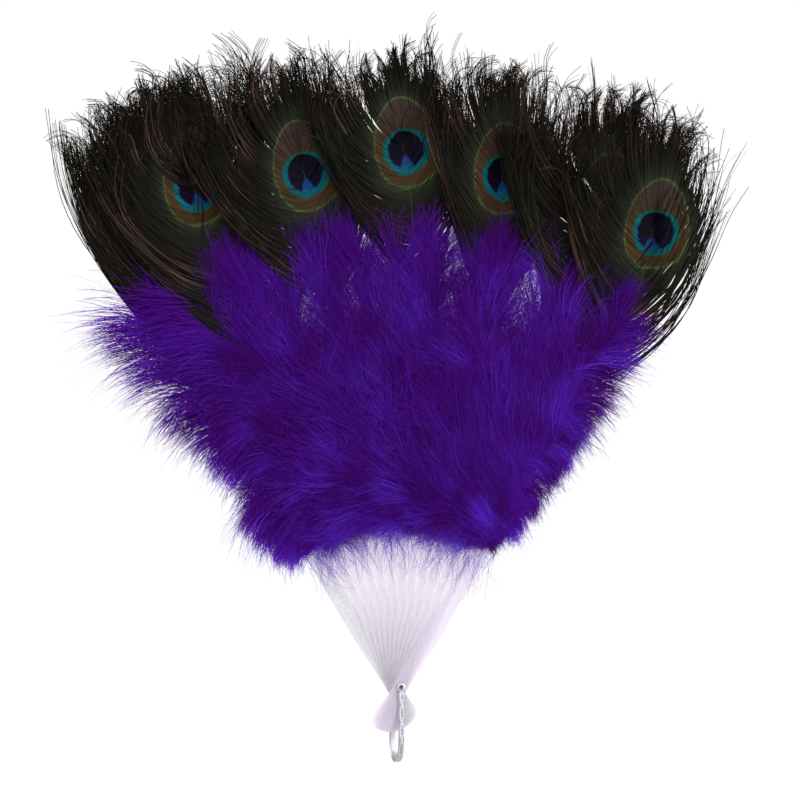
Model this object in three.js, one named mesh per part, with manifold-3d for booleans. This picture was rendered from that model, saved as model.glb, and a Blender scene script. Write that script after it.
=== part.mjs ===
// Folding hand fan of thirteen plastic staves on one rivet, each stave carrying a marabou plume and every
// second one a peacock eye feather. A metal bail hangs from the two ends of the rivet.
// Millimetres, +Z up. The origin is the middle of the rivet, whose axis is Y, and the front faces -Y.
// Each stave with its feathers keeps to a layer of its own along Y, so the whole fan folds without a clash.
import * as THREE from "three";
import { mergeVertices } from "three/addons/utils/BufferGeometryUtils.js";
import Module from "manifold-3d";

const wasm = await Module();
wasm.setup();

// Open spread: the guards' angles from upright, in degrees
const STAVE_COUNT = 13;
const REAR_GUARD_ANGLE = -32.4;
const FRONT_GUARD_ANGLE = 32.4;

// Layers: the pitch between neighbouring staves grows with the distance from the rivet
const STAVE_THICKNESS = 0.7;
const STAVE_GAP = 0.35;
const SPLAY_START = 45;
const SPLAY = 0.009;
const LAYER_CLEARANCE = 0.3;

// Stave blade, widths measured from its own axis
const NECK_HALF_WIDTH = 4.6;
const BLADE_HALF_WIDTH = 5.8;
const BLADE_FULL_AT = 36;
const BLADE_END = 72;
const SHOULDER_HALF_WIDTH = 4.9;
const SHOULDER_AT = 102;
const SHOULDER_LENGTH = 8;
const TONGUE_HALF_WIDTH = 3.2;
const TONGUE_THICKNESS = 0.45;
const STEP_LENGTH = 4;
const STAVE_TIP = 135;

// Rounded tip of the tongue: its length, and how far its corner point lies from the end and from the axis
const TIP_ROUND = 3;
const TIP_CORNER = { along: 0.3, across: 0.72 };
const TIP_FLAT = 0.4;

// Paddle tail below the rivet, larger towards the front guard
const FRONT_TAIL_LENGTH = 30;
const REAR_TAIL_LENGTH = 25;
const FRONT_TAIL_HALF_WIDTH = 6.5;
const REAR_TAIL_HALF_WIDTH = 5.2;

// Shares of the tail's length between which it flares, from which its end is rounded, and of its stations;
// the end keeps a blunt share of the width
const TAIL_FLARE = { from: 0.1, full: 0.75 };
const TAIL_ROUND_FROM = 0.74;
const TAIL_BLUNT = 0.12;
const TAIL_SHARES = [1, 0.985, 0.95, 0.88, 0.78, 0.62, 0.45, 0.3, 0.15];

// Pierced row of dots on each blade
const DOT_COUNT = 5;
const DOT_DIAMETER = 1.3;
const DOT_PITCH = 3.9;
const DOT_FIRST = 53;

// Rivet and its running clearance in the staves and the bail
const RIVET_DIAMETER = 2;
const RIVET_CLEARANCE = 0.25;
const RIVET_HEAD_DIAMETER = 3.6;
const RIVET_HEAD_HEIGHT = 1.1;
const DIMPLE_DIAMETER = 1.5;
const DIMPLE_DEPTH = 0.5;
const DIMPLE_FLOOR = 0.7;
const HEAD_GAP = 0.2;

// Domed rivet head: shares of its height and radius at the brim and at the crown
const HEAD_BRIM_HEIGHT = 0.35;
const HEAD_CROWN = { height: 0.8, radius: 0.75 };

// Bail: two straight legs and a bend that is half an ellipse
const BAIL_LENGTH = 47;
const BAIL_BEND_HEIGHT = 15;
const BAIL_WIDTH = 4.2;
const BAIL_THICKNESS = 1;
const BAIL_GAP = 0.3;
const EYE_DIAMETER = 5.8;
const EYE_THICKNESS = 1.2;

// Marabou plume, a crowned leaf seated on the front of the tongue
const PLUME_START = 78;
const PLUME_END = 292;
const PLUME_HALF_WIDTH = 36;
const PLUME_ROOT_HALF_WIDTH = 5;
const PLUME_TIP_HALF_WIDTH = 4;
const PLUME_EDGE = 0.25;
const PLUME_SWEEP = 0.45;
const PLUME_NOTCH = 0.1;
const PLUME_SHAPE = { power: 0.72, fullness: 0.62 };
const SEAT_GAP = 0.3;

// Locks of down: the furrows between them are lower by a share of the plume's height, and the front guard's
// plume, which has nothing before it, stands up further
const LOCK_FURROW = 0.4;
const FRONT_PLUME_RISE = 6;

// Peacock feather: its quill lies in a slot at the stave's tip, its vane spreads around the eye
const QUILL_WIDTH = 1.6;
const QUILL_THICKNESS = 0.75;
const QUILL_TIP_THICKNESS = 0.45;
const QUILL_SWELL = 20;
const QUILL_PULL = 0.4;
const SLOT_START = 100;
const SLOT_GAP = 0.3;
const VANE_BELOW_EYE = 100;
const VANE_ABOVE_EYE = 58;
const VANE_HALF_WIDTH = 58;
const VANE_EDGE = 0.25;
const VANE_SWEEP = 0.5;
const VANE_NOTCH = 0.13;
const VANE_SHAPE = { power: 1.1, fullness: 0.7 };
const VANE_CUT_OFF = 0.97;

// Past the plumes' tips the folded fan has room for a vane to bow forward and for its tufts to stand out
const VANE_BOW = 2.2;
const VANE_RIPPLE = 0.9;
const VANE_CLEAR = 16;
const VANE_RISE = 30;

// Columns across a plume or a vane, as shares of its half width
const COLUMNS = [-1, -0.55, 0, 0.55, 1];
const COLUMN_SWEEP = 1.5;

// Each peacock feather: its stave, the eye's distance from the rivet as a share of the usual, and how far
// the eye and its axis are turned from the stave's own direction, in degrees
const EYE_DISTANCE = 330;
const PEACOCK = [
  { stave: 1, reach: 1.027, eyeShift: 5.2, lean: 17.5 },
  { stave: 3, reach: 1.019, eyeShift: -0.9, lean: 8.5 },
  { stave: 5, reach: 0.988, eyeShift: 0.3, lean: -5 },
  { stave: 7, reach: 1.018, eyeShift: 0.8, lean: -12 },
  { stave: 9, reach: 0.993, eyeShift: 1.3, lean: -13.5 },
  { stave: 11, reach: 1.0074, eyeShift: 2.7, lean: -18 },
  { stave: 13, reach: 1.004, eyeShift: -2.3, lean: -24 },
];

// Linking ribbon behind the tongues
const RIBBON_RADIUS = 124;
const RIBBON_WIDTH = 6;
const RIBBON_THICKNESS = 0.15;
const RIBBON_SEAT = 0.06;

// Facets
const ROUND_SIDES = 16;
const DOT_SIDES = 6;
const PLUME_STATIONS = 13;
const VANE_STATIONS = 19;
const QUILL_STATIONS = 7;
const BAIL_LEG_STEPS = 10;
const BAIL_BEND_STEPS = 12;
const RIBBON_STEPS = 4;

// Fits worked out from the values above
const STAVE_STEP = (FRONT_GUARD_ANGLE - REAR_GUARD_ANGLE) / (STAVE_COUNT - 1);
const PIVOT_PITCH = STAVE_THICKNESS + STAVE_GAP;
const STACK_HALF = ((STAVE_COUNT - 1) / 2) * PIVOT_PITCH + STAVE_THICKNESS / 2;
const HOLE_RADIUS = RIVET_DIAMETER / 2 + RIVET_CLEARANCE;
const BAIL_MIDDLE = STACK_HALF + BAIL_GAP + EYE_THICKNESS / 2;
const BAIL_BEND_AT = -(BAIL_LENGTH - BAIL_THICKNESS / 2 - BAIL_BEND_HEIGHT);
const HEAD_SEAT = STACK_HALF + BAIL_GAP + EYE_THICKNESS + HEAD_GAP;
const TONGUE_START = BLADE_END + STEP_LENGTH;
const TONGUE_BACK = bandHalf(TONGUE_START);
const TONGUE_FRONT = TONGUE_BACK - TONGUE_THICKNESS;
const PLUME_BACK = TONGUE_FRONT - SEAT_GAP;

const MATERIALS = {
  stave: { color: 0xeeecf2, roughness: 0.4, metalness: 0 },
  plume: { color: 0x3c1482, roughness: 0.9, metalness: 0 },
  peacock: { color: 0x2c2a1c, roughness: 0.6, metalness: 0 },
  ribbon: { color: 0x4a1f96, roughness: 0.7, metalness: 0 },
  metal: { color: 0xc8c8cc, roughness: 0.3, metalness: 1 },
};

// Distance between neighbouring layers at a distance from the rivet
function pitchAt(radius) {
  return PIVOT_PITCH + SPLAY * Math.max(0, radius - SPLAY_START);
}

// Half the depth that one layer may fill there
function bandHalf(radius) {
  return (pitchAt(radius) - LAYER_CLEARANCE) / 2;
}

// Middle of a stave's layer along Y, the first stave at the rear
function layerMiddle(stave, radius) {
  return ((STAVE_COUNT + 1) / 2 - stave) * pitchAt(radius);
}

// A point of a stave's layer: along and across the stave, and an offset in depth from the layer's middle
function inLayer(stave, across, along, offset) {
  const radius = Math.hypot(across, along);
  return new THREE.Vector3(across, layerMiddle(stave, radius) + offset, along);
}

function smooth(low, high, value) {
  return THREE.MathUtils.smoothstep(value, low, high);
}

// Closed geometry from points and triangles, turned so that its faces point outwards
function closedGeometry(points, triangles) {
  const volume = triangles.reduce((sum, [a, b, c]) => {
    const normal = new THREE.Vector3().crossVectors(points[b], points[c]);
    return sum + points[a].dot(normal);
  }, 0);
  const faces = volume < 0 ? triangles.map(([a, b, c]) => [a, c, b]) : triangles;
  const geometry = new THREE.BufferGeometry().setFromPoints(points);
  geometry.setIndex(faces.flat());
  geometry.computeVertexNormals();
  return geometry;
}

// Loft through sections that have the same number of points, with flat ends. A section's second half lies
// opposite its first, and both are folded along the same lines, so that a thin leaf keeps its thickness
function loft(sections) {
  const size = sections[0].length;
  const triangles = [];
  for (let s = 0; s + 1 < sections.length; s++) {
    for (let k = 0; k < size; k++) {
      const a = s * size + k;
      const b = s * size + ((k + 1) % size);
      if (k < size / 2) {
        triangles.push([a, b, b + size], [a, b + size, a + size]);
      } else {
        triangles.push([a, b, a + size], [b, b + size, a + size]);
      }
    }
  }
  const last = (sections.length - 1) * size;
  for (let k = 1; k + 1 < size; k++) {
    triangles.push([0, k + 1, k], [last, last + k, last + k + 1]);
  }
  return closedGeometry(sections.flat(), triangles);
}

function solidOf(geometry) {
  const bare = geometry.clone();
  bare.deleteAttribute("normal");
  bare.deleteAttribute("uv");
  const merged = mergeVertices(bare);
  const mesh = new wasm.Mesh({
    numProp: 3,
    vertProperties: new Float32Array(merged.attributes.position.array),
    triVerts: new Uint32Array(merged.index.array),
  });
  return new wasm.Manifold(mesh);
}

function geometryOf(solid) {
  const mesh = solid.getMesh();
  const geometry = new THREE.BufferGeometry();
  geometry.setAttribute("position", new THREE.BufferAttribute(mesh.vertProperties, 3));
  geometry.setIndex(new THREE.BufferAttribute(mesh.triVerts, 1));
  geometry.computeVertexNormals();
  return geometry;
}

// Round cutter or disc along Y
function roundAt(x, y, z, radius, height, sides) {
  return new THREE.CylinderGeometry(radius, radius, height, sides).translate(x, y, z);
}

function named(name, geometry, material) {
  const mesh = new THREE.Mesh(geometry, new THREE.MeshStandardMaterial(MATERIALS[material]));
  mesh.name = name;
  return mesh;
}

// Share of the way from the rear guard to the front guard
function frontShare(stave) {
  return (stave - 1) / (STAVE_COUNT - 1);
}

// Stations of the paddle tail, from its end to the neck: distance along the stave and half width
function tailStations(stave) {
  const length = THREE.MathUtils.lerp(REAR_TAIL_LENGTH, FRONT_TAIL_LENGTH, frontShare(stave));
  const widest = THREE.MathUtils.lerp(REAR_TAIL_HALF_WIDTH, FRONT_TAIL_HALF_WIDTH, frontShare(stave));
  return TAIL_SHARES.map((share) => {
    const flared = smooth(TAIL_FLARE.from, TAIL_FLARE.full, share);
    const flare = THREE.MathUtils.lerp(NECK_HALF_WIDTH, widest, flared);
    const past = Math.max(0, share - TAIL_ROUND_FROM) / (1 - TAIL_ROUND_FROM);
    const rounding = Math.max(TAIL_BLUNT, Math.sqrt(1 - past * past));
    return [-share * length, flare * rounding];
  });
}

// Stations of the blade and the tongue above the rivet
function bladeStations() {
  const rise = BLADE_FULL_AT - 2 * HOLE_RADIUS;
  const shoulder = (share) =>
    [2 * HOLE_RADIUS + share * rise,
     THREE.MathUtils.lerp(NECK_HALF_WIDTH, BLADE_HALF_WIDTH, smooth(0, 1, share))];
  const widening = (along) =>
    THREE.MathUtils.mapLinear(along, BLADE_FULL_AT, SHOULDER_AT, BLADE_HALF_WIDTH, SHOULDER_HALF_WIDTH);
  return [
    [0, NECK_HALF_WIDTH],
    ...[0, 0.25, 0.5, 0.75, 1].map(shoulder),
    [BLADE_END, widening(BLADE_END)],
    [TONGUE_START, widening(TONGUE_START)],
    [SHOULDER_AT, SHOULDER_HALF_WIDTH],
    [SHOULDER_AT + SHOULDER_LENGTH, TONGUE_HALF_WIDTH],
    [STAVE_TIP - TIP_ROUND, TONGUE_HALF_WIDTH],
    [STAVE_TIP - TIP_ROUND * TIP_CORNER.along, TONGUE_HALF_WIDTH * TIP_CORNER.across],
    [STAVE_TIP, TONGUE_HALF_WIDTH * TIP_FLAT],
  ];
}

// Flat section across a stave; its depth follows the layer at the station on the stave's own axis
function staveSection(stave, along, halfWidth) {
  const onTongue = smooth(BLADE_END, TONGUE_START, along);
  const middle = layerMiddle(stave, Math.max(0, along));
  const back = middle + THREE.MathUtils.lerp(STAVE_THICKNESS / 2, TONGUE_BACK, onTongue);
  const front = middle + THREE.MathUtils.lerp(-STAVE_THICKNESS / 2, TONGUE_FRONT, onTongue);
  return [
    new THREE.Vector3(-halfWidth, back, along),
    new THREE.Vector3(halfWidth, back, along),
    new THREE.Vector3(halfWidth, front, along),
    new THREE.Vector3(-halfWidth, front, along),
  ];
}

function staveGeometry(stave, slotted) {
  const stations = [...tailStations(stave), ...bladeStations()];
  let solid = solidOf(loft(stations.map(([along, half]) => staveSection(stave, along, half))));
  const depth = 4 * bandHalf(STAVE_TIP);
  const cut = (cutter) => {
    solid = solid.subtract(solidOf(cutter));
  };
  cut(roundAt(0, layerMiddle(stave, 0), 0, HOLE_RADIUS, depth, ROUND_SIDES));
  for (let k = 0; k < DOT_COUNT; k++) {
    const along = DOT_FIRST + k * DOT_PITCH;
    cut(roundAt(0, layerMiddle(stave, along), along, DOT_DIAMETER / 2, depth, DOT_SIDES));
  }
  if (slotted) {
    const width = QUILL_WIDTH + 2 * SLOT_GAP;
    const length = STAVE_TIP - SLOT_START + SLOT_GAP;
    const middle = SLOT_START - SLOT_GAP + length;
    const reach = 2 * (layerMiddle(1, STAVE_TIP) + depth);
    cut(new THREE.BoxGeometry(width, reach, 2 * length).translate(0, 0, middle));
  }
  return geometryOf(solid);
}

// Half width of a leaf that opens quickly at its root and rounds off at its tip, share 0 to 1
function leaf(share, { power, fullness }) {
  return Math.sin(Math.PI * share ** power) ** fullness;
}

// Every second station of a leaf's edge is drawn in, as the barbs gather into locks
function notched(station, depth) {
  return station % 2 ? 1 - depth : 1;
}

// On every second station a column is the ridge of a lock, and on the others it is not
function onRidge(inner, station) {
  return inner === (station % 2 === 0);
}

// Share of a plume's height between its rim and its crown
function lockHeight(column, station) {
  if (Math.abs(column) === 1) return 0;
  return onRidge(column === 0, station) ? 1 : 1 - LOCK_FURROW;
}

function plumeGeometry(stave) {
  const sections = [];
  for (let k = 0; k < PLUME_STATIONS; k++) {
    const share = k / (PLUME_STATIONS - 1);
    const end = THREE.MathUtils.lerp(PLUME_ROOT_HALF_WIDTH, PLUME_TIP_HALF_WIDTH, share);
    const full = leaf(share, PLUME_SHAPE);
    const half = end + (PLUME_HALF_WIDTH - end) * full * notched(k, PLUME_NOTCH);
    const swept = PLUME_SWEEP * (half - end) * (1 - share);
    const along = THREE.MathUtils.lerp(PLUME_START, PLUME_END, share);
    const crown = -bandHalf(along) - (stave === STAVE_COUNT ? FRONT_PLUME_RISE * full : 0);
    const rim = Math.max(crown, PLUME_BACK - PLUME_EDGE);
    const row = (depth) => COLUMNS.map((column) =>
      inLayer(stave, column * half, along + swept * Math.abs(column) ** COLUMN_SWEEP, depth(column)));
    const back = row(() => PLUME_BACK);
    const front = row((column) => THREE.MathUtils.lerp(rim, crown, lockHeight(column, k)));
    sections.push([...back, ...front.reverse()]);
  }
  return loft(sections);
}

// Middle line of a peacock feather in its stave's frame: straight in the slot, then bending to the eye
function quillCurve(feather) {
  const turn = THREE.MathUtils.degToRad(feather.eyeShift);
  const lean = THREE.MathUtils.degToRad(feather.lean);
  const eye = new THREE.Vector2(Math.sin(turn), Math.cos(turn)).multiplyScalar(feather.reach * EYE_DISTANCE);
  const way = new THREE.Vector2(Math.sin(lean), Math.cos(lean));
  const root = new THREE.Vector2(0, STAVE_TIP);
  const pull = QUILL_PULL * root.distanceTo(eye);
  const bend = new THREE.CubicBezierCurve(
    root,
    new THREE.Vector2(0, STAVE_TIP + pull),
    eye.clone().addScaledVector(way, -pull),
    eye,
  );
  return { eye, way, bend, length: bend.getLength() };
}

// Point and direction at a distance along the feather, counted from the eye
function alongQuill(curve, fromEye) {
  if (fromEye >= 0) {
    return { at: curve.eye.clone().addScaledVector(curve.way, fromEye), way: curve.way };
  }
  const share = 1 + fromEye / curve.length;
  if (share <= 0) {
    return { at: new THREE.Vector2(0, STAVE_TIP + share * curve.length), way: new THREE.Vector2(0, 1) };
  }
  return { at: curve.bend.getPointAt(share), way: curve.bend.getTangentAt(share) };
}

// How far a vane's column stands forward of its layer: the bow grows towards the barbs' tips
function vaneForward(column, station, radius) {
  const clear = PLUME_END + VANE_CLEAR;
  const ripple = column === 0 ? 0 : onRidge(Math.abs(column) === 1, station) ? VANE_RIPPLE : -VANE_RIPPLE;
  return smooth(clear, clear + VANE_RISE, radius) * (VANE_BOW * Math.abs(column) + ripple);
}

// Section across a feather: thick at the quill, thin at the tips of its swept barbs
function featherSection(stave, place, half, swept, thickness, station) {
  const side = new THREE.Vector2(place.way.y, -place.way.x);
  const rim = half > QUILL_WIDTH ? Math.min(VANE_EDGE, thickness) : thickness;
  const row = (deep) => COLUMNS.map((column) => {
    const out = Math.abs(column);
    const point = place.at.clone()
      .addScaledVector(side, column * half)
      .addScaledVector(place.way, swept * out ** COLUMN_SWEEP);
    const offset = TONGUE_FRONT + deep * THREE.MathUtils.lerp(thickness, rim, out);
    return inLayer(stave, point.x, point.y, offset - vaneForward(column, station, point.length()));
  });
  return [...row(1), ...row(0).reverse()];
}

function featherGeometry(feather) {
  const curve = quillCurve(feather);
  const root = -(curve.length + STAVE_TIP - SLOT_START);
  const vaneFrom = -VANE_BELOW_EYE;
  const sections = [];
  for (let k = 0; k < QUILL_STATIONS; k++) {
    const fromEye = THREE.MathUtils.lerp(root, vaneFrom, k / QUILL_STATIONS);
    const place = alongQuill(curve, fromEye);
    const free = smooth(STAVE_TIP, STAVE_TIP + QUILL_SWELL, place.at.y);
    const thickness = THREE.MathUtils.lerp(TONGUE_THICKNESS, QUILL_THICKNESS, free);
    sections.push(featherSection(feather.stave, place, QUILL_WIDTH / 2, 0, thickness, k));
  }
  for (let k = 0; k < VANE_STATIONS; k++) {
    const share = k / (VANE_STATIONS - 1);
    const place = alongQuill(curve, THREE.MathUtils.lerp(vaneFrom, VANE_ABOVE_EYE, share));
    const spread = leaf(share * VANE_CUT_OFF, VANE_SHAPE) * notched(k, VANE_NOTCH);
    const half = QUILL_WIDTH / 2 + (VANE_HALF_WIDTH - QUILL_WIDTH / 2) * spread;
    const thickness = THREE.MathUtils.lerp(QUILL_THICKNESS, QUILL_TIP_THICKNESS, share);
    const swept = VANE_SWEEP * (half - QUILL_WIDTH / 2);
    sections.push(featherSection(feather.stave, place, half, swept, thickness, k));
  }
  return loft(sections);
}

// Ribbon from behind a stave's tongue to its rear neighbour, in the frame of the stave
function ribbonGeometry(stave) {
  const overlap = THREE.MathUtils.radToDeg(TONGUE_HALF_WIDTH / RIBBON_RADIUS);
  const near = TONGUE_BACK + RIBBON_SEAT;
  const far = near + RIBBON_THICKNESS;
  const sections = [];
  for (let k = 0; k <= RIBBON_STEPS; k++) {
    const angle = THREE.MathUtils.degToRad(THREE.MathUtils.lerp(overlap, -STAVE_STEP, k / RIBBON_STEPS));
    const point = (radius, offset) =>
      inLayer(stave, radius * Math.sin(angle), radius * Math.cos(angle), offset);
    const low = RIBBON_RADIUS - RIBBON_WIDTH / 2;
    const high = RIBBON_RADIUS + RIBBON_WIDTH / 2;
    sections.push([point(low, near), point(high, near), point(high, far), point(low, far)]);
  }
  return loft(sections);
}

// Rivet turned about Y, with a domed head at each end and a dimple in the front one
function rivetGeometry() {
  const pin = RIVET_DIAMETER / 2;
  const head = RIVET_HEAD_DIAMETER / 2;
  const dimple = DIMPLE_DIAMETER / 2;
  const top = HEAD_SEAT + RIVET_HEAD_HEIGHT;
  const brim = HEAD_SEAT + RIVET_HEAD_HEIGHT * HEAD_BRIM_HEIGHT;
  const crown = HEAD_SEAT + RIVET_HEAD_HEIGHT * HEAD_CROWN.height;
  const profile = [
    [0, -(top - DIMPLE_DEPTH)],
    [dimple * DIMPLE_FLOOR, -(top - DIMPLE_DEPTH)],
    [dimple, -top],
    [head * HEAD_CROWN.radius, -crown],
    [head, -brim],
    [head, -HEAD_SEAT],
    [pin, -HEAD_SEAT],
    [pin, HEAD_SEAT],
    [head, HEAD_SEAT],
    [head, brim],
    [head * HEAD_CROWN.radius, crown],
    [0, top],
  ];
  return new THREE.LatheGeometry(profile.map(([r, y]) => new THREE.Vector2(r, y)), ROUND_SIDES);
}

// Middle line of the bail from the front eye, round the bend, to the rear eye
function bailPath() {
  const path = [];
  for (let k = 0; k < BAIL_LEG_STEPS; k++) {
    path.push(new THREE.Vector3(0, -BAIL_MIDDLE, (BAIL_BEND_AT * k) / BAIL_LEG_STEPS));
  }
  for (let k = 0; k < BAIL_BEND_STEPS; k++) {
    const turn = (Math.PI * k) / BAIL_BEND_STEPS;
    const down = BAIL_BEND_HEIGHT * Math.sin(turn);
    path.push(new THREE.Vector3(0, -BAIL_MIDDLE * Math.cos(turn), BAIL_BEND_AT - down));
  }
  for (let k = 0; k <= BAIL_LEG_STEPS; k++) {
    path.push(new THREE.Vector3(0, BAIL_MIDDLE, BAIL_BEND_AT * (1 - k / BAIL_LEG_STEPS)));
  }
  return path;
}

// Strip of even width along the bail's middle line; its flat side faces away from the staves
function bailGeometry() {
  const path = bailPath();
  const outward = (k) => {
    const down = Math.min(0, path[k].z - BAIL_BEND_AT);
    return new THREE.Vector3(0, path[k].y / BAIL_MIDDLE ** 2, down / BAIL_BEND_HEIGHT ** 2).normalize();
  };
  const sections = path.map((point, k) => {
    const before = path[Math.max(0, k - 1)];
    const after = path[Math.min(path.length - 1, k + 1)];
    const way = after.clone().sub(before).normalize();
    const out = outward(k);
    const side = new THREE.Vector3().crossVectors(out, way).normalize();
    const corner = (across, deep) =>
      point.clone()
        .addScaledVector(side, (across * BAIL_WIDTH) / 2)
        .addScaledVector(out, (deep * BAIL_THICKNESS) / 2);
    return [corner(-1, -1), corner(1, -1), corner(1, 1), corner(-1, 1)];
  });
  let solid = solidOf(loft(sections));
  for (const y of [-BAIL_MIDDLE, BAIL_MIDDLE]) {
    solid = solid.add(solidOf(roundAt(0, y, 0, EYE_DIAMETER / 2, EYE_THICKNESS, ROUND_SIDES)));
  }
  const bore = roundAt(0, 0, 0, HOLE_RADIUS, 4 * BAIL_MIDDLE, ROUND_SIDES);
  return geometryOf(solid.subtract(solidOf(bore)));
}

function numbered(name, index) {
  return name + "_" + String(index).padStart(2, "0");
}

function staveName(stave) {
  if (stave === 1) return "rear_guard_stave";
  if (stave === STAVE_COUNT) return "front_guard_stave";
  return numbered("stave", stave);
}

// One stave with what it carries, turned about the rivet to its place in the open fan
function staveGroup(stave) {
  const group = new THREE.Group();
  const feather = PEACOCK.findIndex((entry) => entry.stave === stave);
  group.add(named(staveName(stave), staveGeometry(stave, feather >= 0), "stave"));
  group.add(named(numbered("marabou_plume", stave), plumeGeometry(stave), "plume"));
  if (feather >= 0) {
    const name = numbered("peacock_feather", feather + 1);
    group.add(named(name, featherGeometry(PEACOCK[feather]), "peacock"));
  }
  if (stave > 1) {
    group.add(named(numbered("link_ribbon", stave - 1), ribbonGeometry(stave), "ribbon"));
  }
  group.rotation.y = THREE.MathUtils.degToRad(REAR_GUARD_ANGLE + (stave - 1) * STAVE_STEP);
  return group;
}

const fan = new THREE.Group();
for (let stave = 1; stave <= STAVE_COUNT; stave++) {
  fan.add(staveGroup(stave));
}
fan.add(named("rivet", rivetGeometry(), "metal"));
fan.add(named("bail", bailGeometry(), "metal"));

export default fan;
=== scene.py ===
"""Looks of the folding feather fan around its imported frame: feathers, plastic, ribbons and metal.

Lengths in this script are millimetres, and are turned into metres where a mesh is made.
A stave's own plane has two coordinates: across, to its right, and along, away from the rivet.
"""

import math
from typing import NamedTuple

import bpy
import numpy as np
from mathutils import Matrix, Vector

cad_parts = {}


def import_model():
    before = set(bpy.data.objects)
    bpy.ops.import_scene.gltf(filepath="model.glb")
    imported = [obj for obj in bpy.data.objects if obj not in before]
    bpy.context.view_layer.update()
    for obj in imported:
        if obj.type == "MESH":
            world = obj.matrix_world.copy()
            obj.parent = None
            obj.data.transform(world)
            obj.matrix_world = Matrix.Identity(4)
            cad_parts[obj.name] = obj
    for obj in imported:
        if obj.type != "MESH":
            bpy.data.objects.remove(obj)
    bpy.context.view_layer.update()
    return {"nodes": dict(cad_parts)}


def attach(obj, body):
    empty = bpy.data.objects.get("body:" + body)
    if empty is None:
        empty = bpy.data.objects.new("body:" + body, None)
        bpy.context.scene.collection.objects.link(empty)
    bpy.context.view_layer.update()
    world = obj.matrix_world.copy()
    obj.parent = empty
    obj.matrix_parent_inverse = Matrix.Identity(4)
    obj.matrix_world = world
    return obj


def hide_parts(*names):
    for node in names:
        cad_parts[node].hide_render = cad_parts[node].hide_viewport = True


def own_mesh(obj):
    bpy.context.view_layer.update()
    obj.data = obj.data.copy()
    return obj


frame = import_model()

MM = 0.001
FULL_TURN = 2 * math.pi
RANDOM_SEED = 7

# The open fan, as in the part's source
STAVE_COUNT = 13
REAR_GUARD_ANGLE = -32.4
FRONT_GUARD_ANGLE = 32.4
PIVOT_PITCH = 1.05
SPLAY_START = 45
SPLAY = 0.009
STAVE_TIP = 135


class Plume(NamedTuple):
    """One of the marabou plumes of a stave. Angles are in degrees."""
    start: float
    end: float
    length: tuple  # of the barbs at root, middle and tip
    angle: tuple  # of the barbs from the shaft at root and tip
    lift: tuple  # least and largest share of that angle
    depth: float  # slope of the fluff to either face
    forward: float  # slope of the fluff to the front, at the tip
    locks: int
    clumps: int  # that the locks of either side gather into
    tint: float  # how light it is


# Each stave carries these plumes one above the other, from the rivet outwards
PLUMES = [
    Plume(start=102, end=142, length=(22, 36, 42), angle=(165, 85), lift=(0.35, 1.05),
          depth=13, forward=0, locks=130, clumps=9, tint=0.64),
    Plume(start=114, end=205, length=(40, 50, 42), angle=(108, 50), lift=(0.1, 1.05),
          depth=11, forward=0, locks=180, clumps=14, tint=0.53),
    Plume(start=165, end=268, length=(50, 52, 44), angle=(95, 40), lift=(0.1, 1.05),
          depth=8, forward=5, locks=205, clumps=15, tint=0.5),
]
PLUME_SHIFT = 5
PLUME_SLIDE = 4
PLUME_SHAFT = {"points": 12, "below": 6, "depth": -0.55, "radius": (0.25, 0.12)}

# Locks of down. A mix has a share that a whole clump has in common and a share of each lock's own
LOCK_STRANDS = 12
LOCK_POINTS = 7
LOCK_RADIUS = 1.6
LOCK_LENGTH = (0.75, 1.1)
ANGLE_EASE = 0.7
ANGLE_STRAY = 5
LIFT_MIX = (0.55, 0.45)
LIFT_EASE = 0.8
SLOPE_MIX = (0.6, 0.7)
SLOPE_LIMIT = 1.6
BEND_MIX = (0.45, 0.25)
TINT_MIX = (0.26, 0.1)
CLUMP_PULL = 0.16
CLUMP_FROM = 0.25

# Strands of a lock: those that aren't stray have an even length, as a share of the lock's
EVEN_LENGTH = (0.66, 1.0)
STRAY_SHARE = 0.06
STRAY_LENGTH = (1.0, 1.16)
STRAND_WIDTH = 0.3
STRAND_WIDTHS = (0.7, 1.3)
STRAND_TAPER = 0.7
STRAND_CLOSING = 0.22
STRAND_STRAY = 0.2
STRAND_WAVE = {"swing": 0.22, "rate": 5}
STRAND_TINT = 0.04
RISE_STRAY = 0.05
RISE_FADE = 0.75
RISE_WAVE = {"swing": 0.06, "rate": 4}
FLUFF_FRONT = 1.0

# The outermost staves' fluff: the side that faces out, and its length at the root and the tip of each plume
# as a share of the usual. It bends down there: the angles from the shaft, in degrees, at which it leaves and
# ends, also at the root and the tip of each plume
OUTER_REACH = {
    1: (-1, ((0.9, 0.9), (0.7, 0.5), (0.5, 1.4))),
    2: (-1, ((0.9, 0.9), (0.76, 0.58), (0.62, 1.35))),
    12: (1, ((0.5, 0.5), (0.55, 0.55), (0.62, 0.85))),
    13: (1, ((0.3, 0.3), (0.42, 0.42), (0.5, 0.72))),
}
OUTER_LEAVE = ((70, 70), (70, 66), (62, 40))
OUTER_FINISH = ((140, 140), (132, 126), (124, 66))
OUTER_EASE = 1.2
OUTER_BEND = 0.25
OUTER_LOCKS = 1.25
OUTER_WIDTH = 1.6
OUTER_LENGTH = (0.8, 1.0)
OUTER_STRAY_SHARE = 0.2
OUTER_STRAY_LENGTH = (1.0, 1.4)

# Short hairs on the strands
FUZZ_PER_LOCK = 40
FUZZ_POINTS = 3
FUZZ_LENGTH = (2.5, 8.0)
FUZZ_WIDTH = 0.14
FUZZ_TAPER = 0.3
FUZZ_SPREAD = (0.62, 0.496, 0.62)
FUZZ_DROOP = 0.25
FUZZ_LIGHTER = 0.12
FUZZ_ALONG = 0.6

# Loose ends: how far outside the guards, by the distance from the rivet, and how near the rivet they are
LOOSE_BESIDE = (0, 24)
LOOSE_FROM = ((100, 185, 215, 250), (22, 24, 38, 42))
LOOSE_BELOW = (104, 80)
# The loose ends let the background through by the clear share, and are painted paler by the glow share: a
# painted glow of light shining through them
LOOSE_CLEAR = 0.6
LOOSE_PAINTED_GLOW = 0.75

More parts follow.
